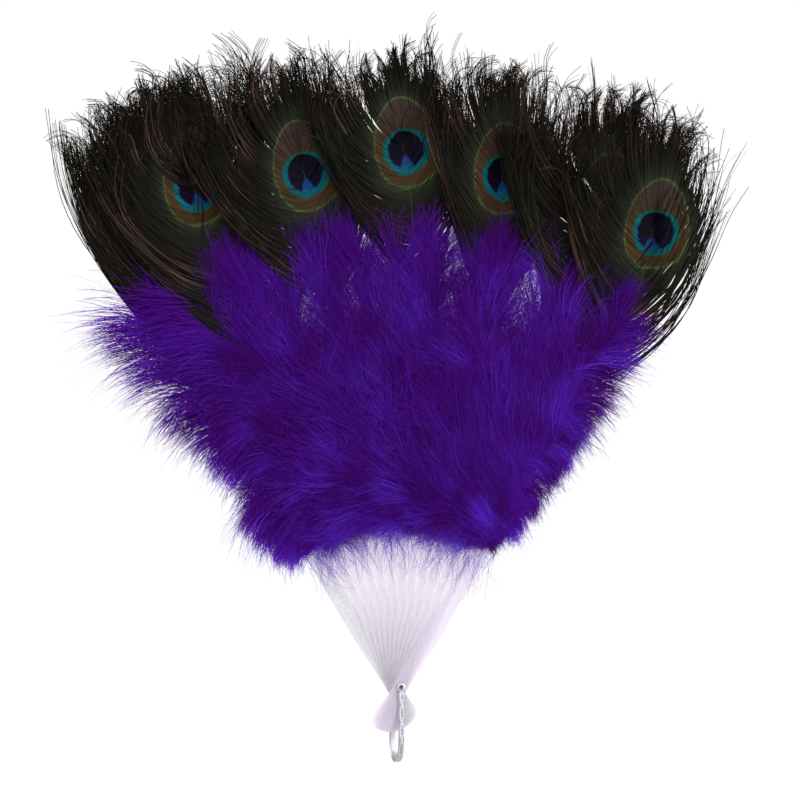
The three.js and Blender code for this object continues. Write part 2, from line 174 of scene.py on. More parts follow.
# Single hairs that hang over the bare staves
WISPS = 12
WISP_BESIDE = 9
WISP_ROOT = (94, 110)
WISP_HEADING = (155, 205)
WISP_LENGTH = (14, 34)
WISP_WIDTH = 0.34
WISP_CURVE = 0.55
WISP_SLOPE = (-0.15, 0.12)
WISP_FRONT = 2.0
WISP_TINT = 0.6
# The wisps count as loose ends by this share, so they are painted paler too
WISP_LOOSE = 0.4
WISP_FUZZ = 3


class Feather(NamedTuple):
    """A peacock feather. Angles are in degrees, and pairs are for its left and its right side."""
    stave: int
    reach: float  # distance of the eye from the rivet, as a share of the usual
    eye_shift: float  # turn of the eye from the stave
    lean: float  # turn of the eye's axis from the stave
    barbs: float  # length of the barbs, as a share of the usual
    curl: float  # turn of the barbs' tips to the right
    below: float  # how far below the eye the barbs begin
    flank: tuple  # length of the barbs below the eye, as a share of the usual
    spread: tuple  # how far they lean out, as a share of the usual
    sweep: tuple  # angle from the axis at which they end
    low: tuple = (1, 1)  # further length of the lowest barbs
    missing: tuple = (0, 0)  # share of the barbs that is missing
    over: int = 0  # count of the barbs that lie over the eye


PEACOCK = [
    Feather(stave=1, reach=1.027, eye_shift=5.2, lean=17.5, barbs=0.92, curl=-20, below=116,
            flank=(1.06, 1), spread=(1.38, 1), sweep=(-15, 0), low=(1.3, 1)),
    Feather(stave=3, reach=1.019, eye_shift=-0.9, lean=8.5, barbs=0.99, curl=-12, below=110,
            flank=(1.05, 1.22), spread=(1.45, 1.3), sweep=(-6, 0), low=(1.2, 1), over=260),
    Feather(stave=5, reach=0.988, eye_shift=0.3, lean=-5, barbs=1.0, curl=0, below=86,
            flank=(1.12, 1.1), spread=(1.6, 1), sweep=(6, -4)),
    Feather(stave=7, reach=1.018, eye_shift=0.8, lean=-12, barbs=0.82, curl=6, below=82,
            flank=(1.22, 1.2), spread=(1.62, 1), sweep=(7, -2)),
    Feather(stave=9, reach=0.993, eye_shift=1.3, lean=-13.5, barbs=0.97, curl=14, below=82,
            flank=(1.08, 1.05), spread=(1.3, 1), sweep=(8, -4)),
    Feather(stave=11, reach=1.0074, eye_shift=2.7, lean=-18, barbs=1.02, curl=24, below=94,
            flank=(1.15, 1), spread=(1.9, 1), sweep=(17, -2)),
    Feather(stave=13, reach=1.004, eye_shift=-2.3, lean=-24, barbs=1.03, curl=22, below=116,
            flank=(1.06, 1.06), spread=(1.5, 0.66), sweep=(26, -10), missing=(0, 0.72)),
]
EYE_DISTANCE = 330

# The quill, and its shaft's length above the eye's middle
SHAFT_ABOVE = 12
QUILL = {"points": 40, "slot": 105, "slot_points": 4, "depth": 0.05, "radius": (0.6, 0.2)}
QUILL_PULL = 0.4
QUILL_CURVE_POINTS = 200

# Barbs along the shaft. Places are counted from the eye's middle, and a pair of places or of shares of the
# barb's length is where something sets in and where it is full
BARB_PITCH = 0.26
BARB_POINTS = 18
BARB_WIDTH = 0.6
BARB_TAPER = {"from": 0.4, "share": 0.45}
BARB_LEAVE = ((-165, -105, -60, -22, 2, SHAFT_ABOVE), (36, 46, 52, 58, 44, 0))
BARB_LENGTH = ((-165, -105, -70, -40, 0, SHAFT_ABOVE), (118, 130, 124, 112, 86, 66))
BARB_EASE = 1.6
BARB_STRAY = 2.0
BARB_STRAIGHTEN = 0.35
ROOT_STRAY = 0.2
ROOT_CLEAR = 2
CREST_ROOTS = {"from": 0.3, "closer": 6}
LOW_BARBS = {"above": 28, "share": 0.3}
FLANK_FROM = (6, -10)
LOW_FROM = (-20, -100)
SPREAD_FROM = (-120, -50)
SWEEP_FADE = 24
RAGGED = {"usual": 0.99, "tuft": 0.085, "barb": 0.2, "ease": 2.5}
MISSING_FROM = (-26, -38)
CROPPED_FROM = (12, -8)
CROPPED_LENGTH = 0.46
BARB_BOW = 6.0
BOW_FROM = (-112, -56)
BOW_RISE = (0.02, 0.35)
BARB_LAYER = 0.7
BARB_FRONT = 8.0
BARB_SLOPE = 0.03
TIP_SLOPE = {"usual": 0.05, "limit": 0.1}
BARB_TWIST = {"whole": 0.15, "tip": 0.8, "from": 0.3}
BARB_TINT = {"usual": 0.52, "tuft": 0.1, "barb": 0.28}
EYE_WIDEN = {"from": 36, "full": 24, "flatten": 0.8, "share": 0.7}

# Tufts that neighbouring barbs gather into, and their curls at the crest
TUFT_PITCH = 3.4
CREST_TUFT_PITCH = 1.0
TUFT_MIXED = 0.2
TUFT_STRAY = 3.0
TUFT_PULL = 0.9
TUFT_FROM = (0.45, 1.0)
TUFT_HOLD = (0.3, 1.0)
CREST_FROM = (-75, -15)
TUFT_CURL = 68
CURL = {"stray": 12, "low": 0.2, "from": 0.68, "ease": 1.2}
FRIZZ = {"size": (2, 11), "stray": 0.3, "low": 0.3, "rate": 17, "from": (0.45, 0.8)}
SWAY = {"size": (4, 13), "stray": 0.35, "rate": 8.5}

# Wider barbs between the tufts, and barbs that lie over the eye
FILLING_SHARE = 0.42
FILLING_FROM = (-100, -70)
FILLING_LENGTH = (0.74, 0.96)
FILLING_WIDTH = 2.0
FILLING_NARROWS = (0.85, 0.55)
FILLING_LAYER = -2
OVER_ROOTS = (1, 12)
OVER_LEAVE = (12, 64)
OVER_FINISH = (-48, -4)
OVER_FRONT = 1.6
OVER_RISE = (0, 0.2)
BESIDE_EYE = 120

# Tiny side hairs of the barbs
BARBULES_PER_BARB = 9
BARBULE_LENGTH = 1.3
BARBULE_WIDTH = (0.14, 0.042)
BARBULE_LEAN = (0.5, 1.0)
BARBULE_STRAY = 0.2

# The eye's outlines, and the part of a feather that its bake map covers
EYE_DISC = {"middle": 4.5, "half_width": 21.0, "half_height": 28.0, "taper": 0.16}
EYE_POOL = {"middle": -1.6, "half_width": 15.8, "half_height": 14.7, "taper": -0.12}
EYE_PUPIL = {"middle": -0.2, "half_width": 11.6, "half_height": 12.0, "taper": 0.0}
EYE_NOTCH = {"middle": -9.2, "half_width": 3.6, "half_height": 5.6, "taper": 0.5}
EYE_EDGE = 0.06
BAKE_ACROSS = (-90, 90)
BAKE_UP = (-150, 120)

# Bail, as in the part's source
BAIL_LENGTH = 47
BAIL_WIDTH = 4.2
BAIL_THICKNESS = 1.0
BAIL_MIDDLE = 7.55
BAIL_BEND_HEIGHT = 15
BAIL_STEPS = 340
BAIL_STEPS_ACROSS = 15
BAIL_EDGE_POWER = 6
BAIL_START = 2.4
EYE_RING_DIAMETER = 5.8
EYE_RING_BORE = 2.5
EYE_RING_THICKNESS = 1.2
EYE_RING_EDGE = 0.25
EYE_RING_STEPS = 48

# Relief of two crossing cords on the outside of the bail's front leg, across in shares of half its width.
# It starts so far from the eye and ends so far past the straight part of the leg
CORD_CROSSING = 11.0
CORD_SWING = 0.62
CORD_WIDTH = 0.3
CORD_LAY = 2.2
CORD_LAY_DEPTH = 0.3
CORD_HEIGHT = 0.42
CORD_START = (3.2, 5.0)
CORD_END = (16, 8)
RIM_FROM = (0.8, 0.95)
RIM_HEIGHT = 0.5
# Painted shade: the grooves between the cords and the raised rims take a darker colour, setting in as the
# cords' height falls from the first share to the second; the bail's plain parts take that darker colour at
# the plain share, as an even tone
GROOVE_SHADE_FROM = (0.65, 0.25)
PLAIN_SHADE = 0.5

# Rivet head: its level before the fan's middle, and the painted dark reflection and the painted lamp
# highlight on its dimple
HEAD_LEVEL = 9.0
PAINTED_DARK_REFLECTION = {"across": -0.35, "up": 0.3, "radius": 1.15, "edge": 0.4}
PAINTED_LAMP_HIGHLIGHT = {"across": 0.75, "up": -0.1, "radius": 0.55, "edge": 0.7}

# Shares of light: through the down, scattered through the plastic, and straight through a face and a cut edge
DOWN_GLOW = 0.5
PLASTIC_GLOW = 0.36
FACE_CLEAR = 0.5
EDGE_CLEAR = 0.95

# Linking ribbon, as in the part's source
RIBBON_RADIUS = 124
RIBBON_WIDTH = 6
RIBBON_OFFSET = 0.64
RIBBON_OVERLAP = 1.48
RIBBON_STEPS = 14
RIBBON_ROWS = 7
RIBBON_SAG = 0.25
RIBBON_BENDS = 3

# Camera: it stands to the left of the fan's front by the turn in degrees, level with the picture's middle,
# and shows 500 mm across. The middle is counted to the right of and above the rivet
VIEW_SIZE = 500
VIEW_TURN = 22
VIEW_MIDDLE = (2.0, 179.4)
LENS = 200
SENSOR = 36

# Floor, world and lamps, each lamp with its place and its power in watts
FLOOR_LEVEL = -90
FLOOR_REACH = 3000
FLOOR_TONE = 0.86
FLOOR_GLOW = {"strength": 1.25, "share": 0.7}
WORLD_LEVEL = 0.62
LAMP_TARGET = (0, 0, 200)
LAMP_SIZE = 1200
LAMPS = {
    "key": ((-900, -1600, 1300), 24),
    "fill": ((1200, -1400, 500), 12),
    "rear": ((300, 1600, 1000), 12),
}


# Places on the fan


def stave_step():
    return (FRONT_GUARD_ANGLE - REAR_GUARD_ANGLE) / (STAVE_COUNT - 1)


def stave_angle(stave):
    return math.radians(REAR_GUARD_ANGLE + (stave - 1) * stave_step())


def body_name(stave):
    if stave == 1:
        return "rear_guard"
    if stave == STAVE_COUNT:
        return "front_guard"
    return f"stave_{stave:02d}"


def pitch_at(radius):
    return PIVOT_PITCH + SPLAY * np.maximum(0, radius - SPLAY_START)


def layer_number(stave):
    return (STAVE_COUNT + 1) / 2 - stave


def place(stave, across, along, depth):
    """Points of a stave's plane in the row frame, in millimetres. Depth counts towards the rear."""
    turn = stave_angle(stave)
    x = across * math.cos(turn) + along * math.sin(turn)
    z = along * math.cos(turn) - across * math.sin(turn)
    y = layer_number(stave) * pitch_at(np.hypot(across, along)) + depth
    return np.stack([x, y, z], axis=-1)


# Paths


def smooth_step(low, high, value):
    share = np.clip((value - low) / (high - low), 0, 1)
    return share * share * (3 - 2 * share)


def unit(vectors):
    return vectors / np.maximum(np.linalg.norm(vectors, axis=-1, keepdims=True), 1e-9)


def column(values):
    return np.asarray(values)[:, None]


def middles(values):
    return (values[:, 1:] + values[:, :-1]) / 2


def travelled(share, length):
    """Way gained along paths of equal steps, from the share of each step that counts."""
    step = column(length / share.shape[1])
    start = np.zeros((len(share), 1))
    return np.concatenate([start, np.cumsum(share * step, axis=1)], axis=1)


def walk(across, along, heading, length):
    """Paths of equal steps from their starts, each step along its heading from the stave's direction."""
    heading = middles(heading)
    a = column(across) + travelled(np.sin(heading), length)
    b = column(along) + travelled(np.cos(heading), length)
    return a, b


def climb(slope, length):
    """Depth gained along paths of equal steps, each with its slope out of the plane."""
    return travelled(np.sin(middles(slope)), length)


def gather(values, group, pull):
    """Paths that are pulled towards the mean path of their group."""
    groups = group.max() + 1
    total = np.zeros((groups, values.shape[1]))
    np.add.at(total, group, values)
    mean = total / column(np.bincount(group, minlength=groups))[:groups]
    return values + pull * (mean[group] - values)


def side_ways(centre, twist):
    """Unit vectors across each path, turned about it by the twist from the fan's plane."""
    way = unit(np.gradient(centre, axis=1))
    flat = unit(np.cross(way, np.array([0.0, 1.0, 0.0])))
    up = np.cross(flat, way)
    return flat * np.cos(twist)[..., None] + up * np.sin(twist)[..., None]


# Meshes


def mesh_from(name, corners, quads):
    """A smooth mesh from corners in millimetres."""
    mesh = bpy.data.meshes.new(name)
    mesh.vertices.add(len(corners))
    mesh.vertices.foreach_set("co", (corners * MM).astype(np.float32).ravel())
    mesh.loops.add(quads.size)
    mesh.loops.foreach_set("vertex_index", quads.astype(np.int32).ravel())
    mesh.polygons.add(len(quads))
    mesh.polygons.foreach_set("loop_start", np.arange(0, quads.size, quads.shape[1], dtype=np.int32))
    mesh.polygons.foreach_set("use_smooth", np.ones(len(quads), dtype=bool))
    mesh.update(calc_edges=True)
    return mesh


def set_value(mesh, name, values):
    """A value for the material on each point."""
    attribute = mesh.attributes.new(name, "FLOAT", "POINT")
    attribute.data.foreach_set("value", values.astype(np.float32))


def ring_quads(rings, sides):
    """Faces between each ring of corners and the next."""
    first = np.arange(rings - 1)[:, None] * sides
    k = np.arange(sides)[None, :]
    after = (k + 1) % sides
    quads = np.stack([first + k, first + after, first + after + sides, first + k + sides], axis=-1)
    return quads.reshape(-1, 4)


class Strands:
    """Flat tapering ribbons gathered into one mesh, with values for the material on each point."""

    def __init__(self):
        self.corners = []
        self.quads = []
        self.values = {}
        self.count = 0

    def add(self, centre, width, twist, **values):
        """centre is strands x points x 3 and width strands x points, in millimetres."""
        strands, points, _ = centre.shape
        half = side_ways(centre, twist) * (width / 2)[..., None]
        pairs = np.stack([centre - half, centre + half], axis=2)
        first = (np.arange(strands)[:, None] * points + np.arange(points - 1)[None, :]) * 2 + self.count
        self.corners.append(pairs.reshape(-1, 3))
        self.quads.append(np.stack([first, first + 1, first + 3, first + 2], axis=-1).reshape(-1, 4))
        self.count += strands * points * 2
        for name, value in values.items():
            spread = np.broadcast_to(value, (strands, points))
            self.values.setdefault(name, []).append(np.repeat(spread.reshape(-1), 2))

    def value(self, name):
        return np.concatenate(self.values[name])

    def mesh(self, name):
        mesh = mesh_from(name, np.concatenate(self.corners), np.concatenate(self.quads))
        for value in self.values:
            set_value(mesh, value, self.value(value))
        return mesh


def tube(name, path, radius, sides=8):
    """A round tube along a path that tapers evenly, with the share of its length on each point."""
    points = len(path)
    radius = np.linspace(*radius, points)
    flat = side_ways(path[None], np.zeros((1, points)))[0]
    up = np.cross(flat, unit(np.gradient(path, axis=0)))
    turn = np.linspace(0, FULL_TURN, sides, endpoint=False)
    ring = flat[:, None] * np.cos(turn)[None, :, None] + up[:, None] * np.sin(turn)[None, :, None]
    corners = (path[:, None] + ring * radius[:, None, None]).reshape(-1, 3)
    mesh = mesh_from(name, corners, ring_quads(points, sides))
    set_value(mesh, "along", np.repeat(np.linspace(0, 1, points), sides))
    return mesh


def bake_map(mesh, across, up):
    """A UV map for later baking, from two values between 0 and 1 on each point."""
    layer = mesh.uv_layers.new(name="OFBake")
    corner = np.zeros(len(mesh.loops), dtype=np.int32)
    mesh.loops.foreach_get("vertex_index", corner)
    layer.data.foreach_set("uv", np.stack([across[corner], up[corner]], axis=-1).astype(np.float32).ravel())


def shown(name, mesh, material):
    mesh.materials.append(material)
    piece = bpy.data.objects.new(name, mesh)
    bpy.context.scene.collection.objects.link(piece)
    return piece


# Materials


class Tree:
    """Short calls for building the nodes of a material or a world."""

    def __init__(self, name, kind="materials", output="OutputMaterial"):
        self.owner = getattr(bpy.data, kind).new(name)
        self.owner.use_nodes = True
        self.nodes = self.owner.node_tree.nodes
        self.nodes.clear()
        self.output = self.node(output)

    def node(self, kind, settings=None, **inputs):
        node = self.nodes.new("ShaderNode" + kind)
        for key, value in (settings or {}).items():
            setattr(node, key, value)
        for key, value in inputs.items():
            self.feed(node.inputs[key.replace("_", " ")], value)
        return node

    def feed(self, socket, value):
        if isinstance(value, bpy.types.NodeSocket):
            self.owner.node_tree.links.new(value, socket)
        else:
            socket.default_value = value

    def math(self, operation, *values, clamp=False):
        node = self.node("Math", {"operation": operation, "use_clamp": clamp})
        for socket, value in zip(node.inputs, values):
            self.feed(socket, value)
        return node.outputs[0]

    def value(self, name):
        return self.node("Attribute", {"attribute_name": name}).outputs["Fac"]

    def point(self):
        return self.node("TexCoord").outputs["Object"]

    def noise(self, scale, detail):
        node = self.node("TexNoise", Scale=scale, Detail=detail, Roughness=0.55, Vector=self.point())
        return node.outputs["Fac"]

    def ramp(self, factor, stops):
        node = self.node("ValToRGB", Fac=factor)
        while len(node.color_ramp.elements) < len(stops):
            node.color_ramp.elements.new(0.5)
        for element, (position, tone) in zip(node.color_ramp.elements, stops):
            element.position = position
            element.color = tone
        return node.outputs["Color"]

    def mix(self, factor, first, second, blend="MIX"):
        node = self.node("Mix", {"data_type": "RGBA", "blend_type": blend})
        self.feed(node.inputs[0], factor)
        self.feed(node.inputs[6], first)
        self.feed(node.inputs[7], second)
        return node.outputs[2]

    def shaded(self, paint, shade):
        grey = self.node("CombineColor", Red=shade, Green=shade, Blue=shade).outputs[0]
        return self.mix(1.0, paint, grey, "MULTIPLY")

    def bump(self, height, strength, distance):
        return self.node("Bump", Height=height, Strength=strength, Distance=distance * MM).outputs["Normal"]

    def seen(self):
        """1 for what the camera or a reflection sees, and 0 for light on the fan."""
        path = self.node("LightPath")
        return self.math("MAXIMUM", path.outputs["Is Camera Ray"], path.outputs["Is Glossy Ray"])

    def blend(self, share, first, second):
        """A shader that is the second one by its share, and else the first."""
        node = self.node("MixShader", Fac=share)
        self.feed(node.inputs[1], first.outputs[0])
        self.feed(node.inputs[2], second.outputs[0])
        return node

    def finish(self, shader):
        self.feed(self.output.inputs["Surface"], shader.outputs[0])
        return self.owner


def colour(red, green, blue):
    """Linear colour from values of 0 to 255 as seen on a screen."""
    def linear(value):
        share = value / 255
        return share / 12.92 if share <= 0.04045 else ((share + 0.055) / 1.055) ** 2.4
    return (linear(red), linear(green), linear(blue), 1.0)


def marabou_material():
    tree = Tree("marabou")
    patches = tree.noise(38.0, 2.0)
    streaks = tree.noise(160.0, 2.0)
    tone = tree.math("MULTIPLY", tree.value("tint"), 0.5)
    tone = tree.math("MULTIPLY_ADD", patches, 0.55, tone)
    # Painted light and shade: the tips are a little darker and the roots lighter, to even out the light on
    # the outer tips and the shade deeper in the fluff
    tone = tree.math("MULTIPLY_ADD", tree.value("along"), -0.1, tone)
    tone = tree.math("MULTIPLY_ADD", streaks, 0.2, tone)
    tone = tree.math("SUBTRACT", tone, 0.02, clamp=True)
    paint = tree.ramp(tone, [
        (0.0, colour(108, 6, 120)),
        (0.35, colour(98, 16, 146)),
        (0.65, colour(96, 28, 168)),
        (1.0, colour(106, 58, 200)),
    ])
    paint = tree.shaded(paint, tree.math("MULTIPLY_ADD", tree.value("tint"), 0.8, 0.72))
    loose = tree.value("loose")
    # Painted glow: the loose ends are painted paler, as if lit through
    paint = tree.mix(tree.math("MULTIPLY", loose, LOOSE_PAINTED_GLOW), paint, colour(128, 96, 218))
    roughness = tree.math("MULTIPLY_ADD", streaks, 0.3, 0.5)
    face = tree.node("BsdfPrincipled", Base_Color=paint, Roughness=roughness, Specular_IOR_Level=0.06)
    down = tree.blend(DOWN_GLOW, face, tree.node("BsdfTranslucent", Color=paint))
    clear = tree.math("MULTIPLY", loose, LOOSE_CLEAR)
    return tree.finish(tree.blend(clear, down, tree.node("BsdfTransparent")))


def egg(tree, u, v, middle, half_width, half_height, taper):
    """Distance from an egg's middle, 1 on its outline; taper narrows its upper end."""
    up = tree.math("SUBTRACT", v, middle)
    narrowing = tree.math("MULTIPLY_ADD", up, taper / half_height, 1.0)
    narrowing = tree.math("MAXIMUM", narrowing, 0.2)
    side = tree.math("MULTIPLY", u, narrowing)
    side = tree.math("DIVIDE", side, half_width)
    up = tree.math("DIVIDE", up, half_height)
    square = tree.math("MULTIPLY", up, up)
    square = tree.math("MULTIPLY_ADD", side, side, square)
    return tree.math("SQRT", square)


def inside(tree, distance, edge):
    """1 inside an outline and 0 outside it, over a soft edge."""
    share = tree.math("SUBTRACT", 1.0, distance)
    return tree.math("MULTIPLY_ADD", share, 1 / edge, 0.5, clamp=True)


def loose_barb_paint(tree, tint):
    """Dark brown barbs that are paler at the root, with patches of green."""
    tone = tree.math("MULTIPLY_ADD", tint, 0.6, tree.math("MULTIPLY", tree.noise(26.0, 2.0), 0.4))
    rooted = tree.math("MULTIPLY_ADD", tree.value("along"), -0.4, 0.1)
    tone = tree.math("ADD", tone, tree.math("MAXIMUM", rooted, 0.0))
    paint = tree.ramp(tone, [
        (0.15, colour(5, 4, 3)),
        (0.4, colour(13, 11, 8)),
        (0.55, colour(24, 21, 15)),
        (0.7, colour(42, 31, 27)),
        (0.85, colour(72, 51, 44)),
        (1.0, colour(98, 73, 56)),
    ])
    green = tree.math("MULTIPLY_ADD", tree.noise(22.0, 1.0), 3.0, -1.5, clamp=True)
    return tree.mix(tree.math("MULTIPLY", green, 0.5), paint, colour(15, 30, 17))


def disc_paint(tree, u, v, ripple, paint):
    """The eye's bronze disc with its green rim and halo."""
    rim = egg(tree, u, v, **EYE_DISC)
    halo = tree.ramp(tree.math("SUBTRACT", rim, 0.9), [
        (0.0, colour(50, 56, 26)),
        (0.10, colour(70, 94, 52)),
        (0.15, colour(36, 40, 28)),
        (0.34, colour(28, 29, 21)),
        (0.70, colour(20, 18, 14)),
    ])
    paint = tree.mix(inside(tree, tree.math("MULTIPLY", rim, 0.55), 0.3), paint, halo)
    tone = tree.math("MULTIPLY_ADD", v, 0.02, 0.45)
    bronze = tree.ramp(tree.math("MULTIPLY_ADD", ripple, 0.2, tone), [
        (0.0, colour(54, 38, 22)),
        (0.45, colour(62, 47, 26)),
        (0.8, colour(57, 44, 33)),
        (1.0, colour(54, 42, 38)),
    ])
    return tree.mix(inside(tree, rim, EYE_EDGE), paint, bronze)


def pupil_paint(tree, u, v, paint):
    """The eye's blue pool and its dark, notched pupil."""
    pool = egg(tree, u, v, **EYE_POOL)
    blue = tree.ramp(tree.math("SUBTRACT", pool, 0.2), [
        (0.0, colour(17, 46, 112)),
        (0.35, colour(14, 62, 104)),
        (0.62, colour(10, 80, 96)),
        (0.76, colour(12, 78, 70)),
        (0.82, colour(30, 56, 28)),
    ])
    paint = tree.mix(inside(tree, pool, EYE_EDGE), paint, blue)
    pupil = inside(tree, egg(tree, u, v, **EYE_PUPIL), 0.09)
    notch = inside(tree, egg(tree, u, v, **EYE_NOTCH), 0.3)
    deep = tree.ramp(tree.math("MULTIPLY_ADD", v, 0.04, 0.5), [
        (0.0, colour(14, 9, 34)),
        (0.5, colour(11, 7, 20)),
        (1.0, colour(8, 6, 15)),
    ])
    return tree.mix(tree.math("SUBTRACT", pupil, notch, clamp=True), paint, deep)


def peacock_material():
    tree = Tree("peacock")
    u = tree.value("eye_u")
    v = tree.value("eye_v")
    tint = tree.value("tint")
    ripple = tree.noise(420.0, 2.0)
    paint = loose_barb_paint(tree, tint)
    paint = disc_paint(tree, u, v, ripple, paint)
    paint = pupil_paint(tree, u, v, paint)
    paint = tree.shaded(paint, tree.math("MULTIPLY_ADD", tint, 0.5, 0.72))
    roughness = tree.math("MULTIPLY_ADD", ripple, 0.3, 0.36)
    face = tree.node("BsdfPrincipled", Base_Color=paint, Roughness=roughness, Specular_IOR_Level=0.04)
    return tree.finish(face)


def shaft_material(name, root, tip):
    tree = Tree(name)
    grain = tree.noise(300.0, 4.0)
    along = tree.math("SUBTRACT", tree.value("along"), 0.15)
    share = tree.math("MULTIPLY_ADD", grain, 0.3, along, clamp=True)
    paint = tree.ramp(share, [(0.0, root), (0.5, tip)])
    normal = tree.bump(grain, 0.2, 0.2)
    return tree.finish(tree.node("BsdfPrincipled", Base_Color=paint, Roughness=0.42, Normal=normal))


def plastic_material(name, tone):
    """Milky plastic that lets the background through."""
    tree = Tree(name)
    grain = tree.noise(900.0, 2.0)
    pale = tuple(min(1.0, channel * 1.04) for channel in tone)
    paint = tree.mix(tree.noise(30.0, 3.0), tone, pale)
    roughness = tree.math("MULTIPLY_ADD", grain, 0.15, 0.35)
    normal = tree.bump(grain, 0.08, 0.1)
    face = tree.node("BsdfPrincipled", Base_Color=paint, Roughness=roughness, Normal=normal)
    milk = tree.blend(PLASTIC_GLOW, face, tree.node("BsdfTranslucent", Color=paint))
    facing = tree.node("SeparateXYZ", Vector=tree.node("NewGeometry").outputs["True Normal"]).outputs["Y"]
    edge = tree.math("SUBTRACT", 1.0, tree.math("ABSOLUTE", facing))
    share = tree.math("MULTIPLY_ADD", edge, EDGE_CLEAR - FACE_CLEAR, FACE_CLEAR)
    clear = tree.node("BsdfTransparent", Color=(0.985, 0.981, 0.988, 1))
    return tree.finish(tree.blend(share, milk, clear))


def metal_material(name, tone, groove_shade):
    tree = Tree(name)
    wear = tree.noise(1400.0, 4.0)
    worn = tuple(0.8 * channel for channel in tone)
    # Painted shade: the darker colour goes into the bail's grooves by their share
    paint = tree.mix(tree.value("groove_shade"), tree.mix(wear, tone, worn), groove_shade)
    roughness = tree.math("MULTIPLY_ADD", wear, 0.18, 0.24)
    normal = tree.bump(wear, 0.12, 0.05)
    face = tree.node("BsdfPrincipled", Base_Color=paint, Metallic=1.0, Roughness=roughness, Normal=normal)
    return tree.finish(face)


def rivet_material():
    """Polished steel with a painted dark reflection above and to the left, and a painted lamp highlight on
    the right.
    """
    tree = Tree("rivet_steel")
    wear = tree.noise(1400.0, 4.0)

    def spot(across, up, radius, edge):
        away = tree.node("VectorMath", {"operation": "DISTANCE"})
        tree.feed(away.inputs[0], tree.point())
        tree.feed(away.inputs[1], (across * MM, -HEAD_LEVEL * MM, up * MM))
        return inside(tree, tree.math("DIVIDE", away.outputs["Value"], radius * MM), edge)

    paint = tree.mix(wear, colour(176, 174, 184), colour(150, 148, 158))
    # Painted dark reflection, above and to the left on the head
    paint = tree.mix(spot(**PAINTED_DARK_REFLECTION), paint, colour(62, 58, 70))
    # Painted lamp highlight, on the right of the head
    paint = tree.mix(spot(**PAINTED_LAMP_HIGHLIGHT), paint, colour(250, 250, 252))
    roughness = tree.math("MULTIPLY_ADD", wear, 0.12, 0.14)
    return tree.finish(tree.node("BsdfPrincipled", Base_Color=paint, Metallic=1.0, Roughness=roughness))


def ribbon_material():
    tree = Tree("satin_ribbon")
    weave = tree.node("TexWave", Scale=900.0, Distortion=0.6, Vector=tree.point()).outputs["Fac"]
    paint = tree.ramp(weave, [(0.0, colour(66, 22, 128)), (1.0, colour(98, 52, 176))])
    normal = tree.bump(weave, 0.3, 0.1)
    face = tree.node("BsdfPrincipled", Base_Color=paint, Roughness=0.4, Sheen_Weight=0.4, Normal=normal)
    return tree.finish(face)


# Marabou


def plume_locks(rng, plume, count):
    """For each lock of a plume: its root's share of the shaft, side, clump, angle, length, slope, bend, tint
    and root."""
    share = (np.arange(count) + rng.uniform(0, 1, count)) / count
    side = np.where(np.arange(count) % 2, 1.0, -1.0)
    clump = np.floor(share * plume.clumps).astype(int) * 2 + (side > 0)
    clumps = clump.max() + 1

    def mixed(draw, mix, *limits):
        return mix[0] * draw(*limits, clumps)[clump] + mix[1] * draw(*limits, count)

    root_angle, tip_angle = plume.angle
    angle = root_angle + (tip_angle - root_angle) * share ** ANGLE_EASE
    lift = mixed(rng.uniform, LIFT_MIX, *plume.lift)
    angle = angle * lift ** LIFT_EASE + rng.normal(0, ANGLE_STRAY, count)
    length = np.interp(share, (0, 0.5, 1), plume.length) * rng.uniform(*LOCK_LENGTH, count)
    slope = np.clip(mixed(rng.normal, SLOPE_MIX, 0, 1), -SLOPE_LIMIT, SLOPE_LIMIT)
    slope = slope * plume.depth - plume.forward * share
    bend = mixed(rng.normal, BEND_MIX, 0, 1)
    tint = np.clip(plume.tint + mixed(rng.normal, TINT_MIX, 0, 1), 0, 1)
    root = plume.start + (plume.end - plume.start) * share + rng.uniform(-PLUME_SLIDE, PLUME_SLIDE)
    return share, side, clump, np.radians(angle), length, np.radians(slope), bend, tint, root


def looseness(points):
    """0 within the fan's body and 1 at the fluff's loose ends, beyond the guards or towards the rivet."""
    x, z = points[..., 0], points[..., 2]
    first, last = stave_angle(1), stave_angle(STAVE_COUNT)
    beyond_left = z * math.sin(first) - x * math.cos(first)
    beyond_right = x * math.cos(last) - z * math.sin(last)
    radius = np.hypot(x, z)
    beyond = np.maximum(beyond_left, beyond_right) - np.interp(radius, *LOOSE_FROM)
    return np.maximum(smooth_step(*LOOSE_BESIDE, beyond), smooth_step(*LOOSE_BELOW, radius))


def outer_fluff(stave, number, side, share):
    """Which fluff of a plume faces out, on the outermost staves, its length as a share of the usual, and the
    angles at which it leaves and ends."""
    outward, shares = OUTER_REACH.get(stave, (0, ((1, 1),) * len(PLUMES)))
    outer = side == outward
    reach = np.where(outer, np.interp(share, (0, 1), shares[number]), 1)
    leave = np.radians(np.interp(share, (0, 1), OUTER_LEAVE[number]))
    finish = np.radians(np.interp(share, (0, 1), OUTER_FINISH[number]))
    return outer, reach, column(leave), column(finish)


def strand_lengths(rng, outer):
    """Lengths of the strands as shares of their lock's."""
    many = len(outer)
    stray = rng.uniform(0, 1, many) < np.where(outer, OUTER_STRAY_SHARE, STRAY_SHARE)
    usual = np.where(outer, rng.uniform(*OUTER_LENGTH, many), rng.uniform(*EVEN_LENGTH, many))
    longer = np.where(outer, rng.uniform(*OUTER_STRAY_LENGTH, many), rng.uniform(*STRAY_LENGTH, many))
    return np.where(stray, longer, usual)


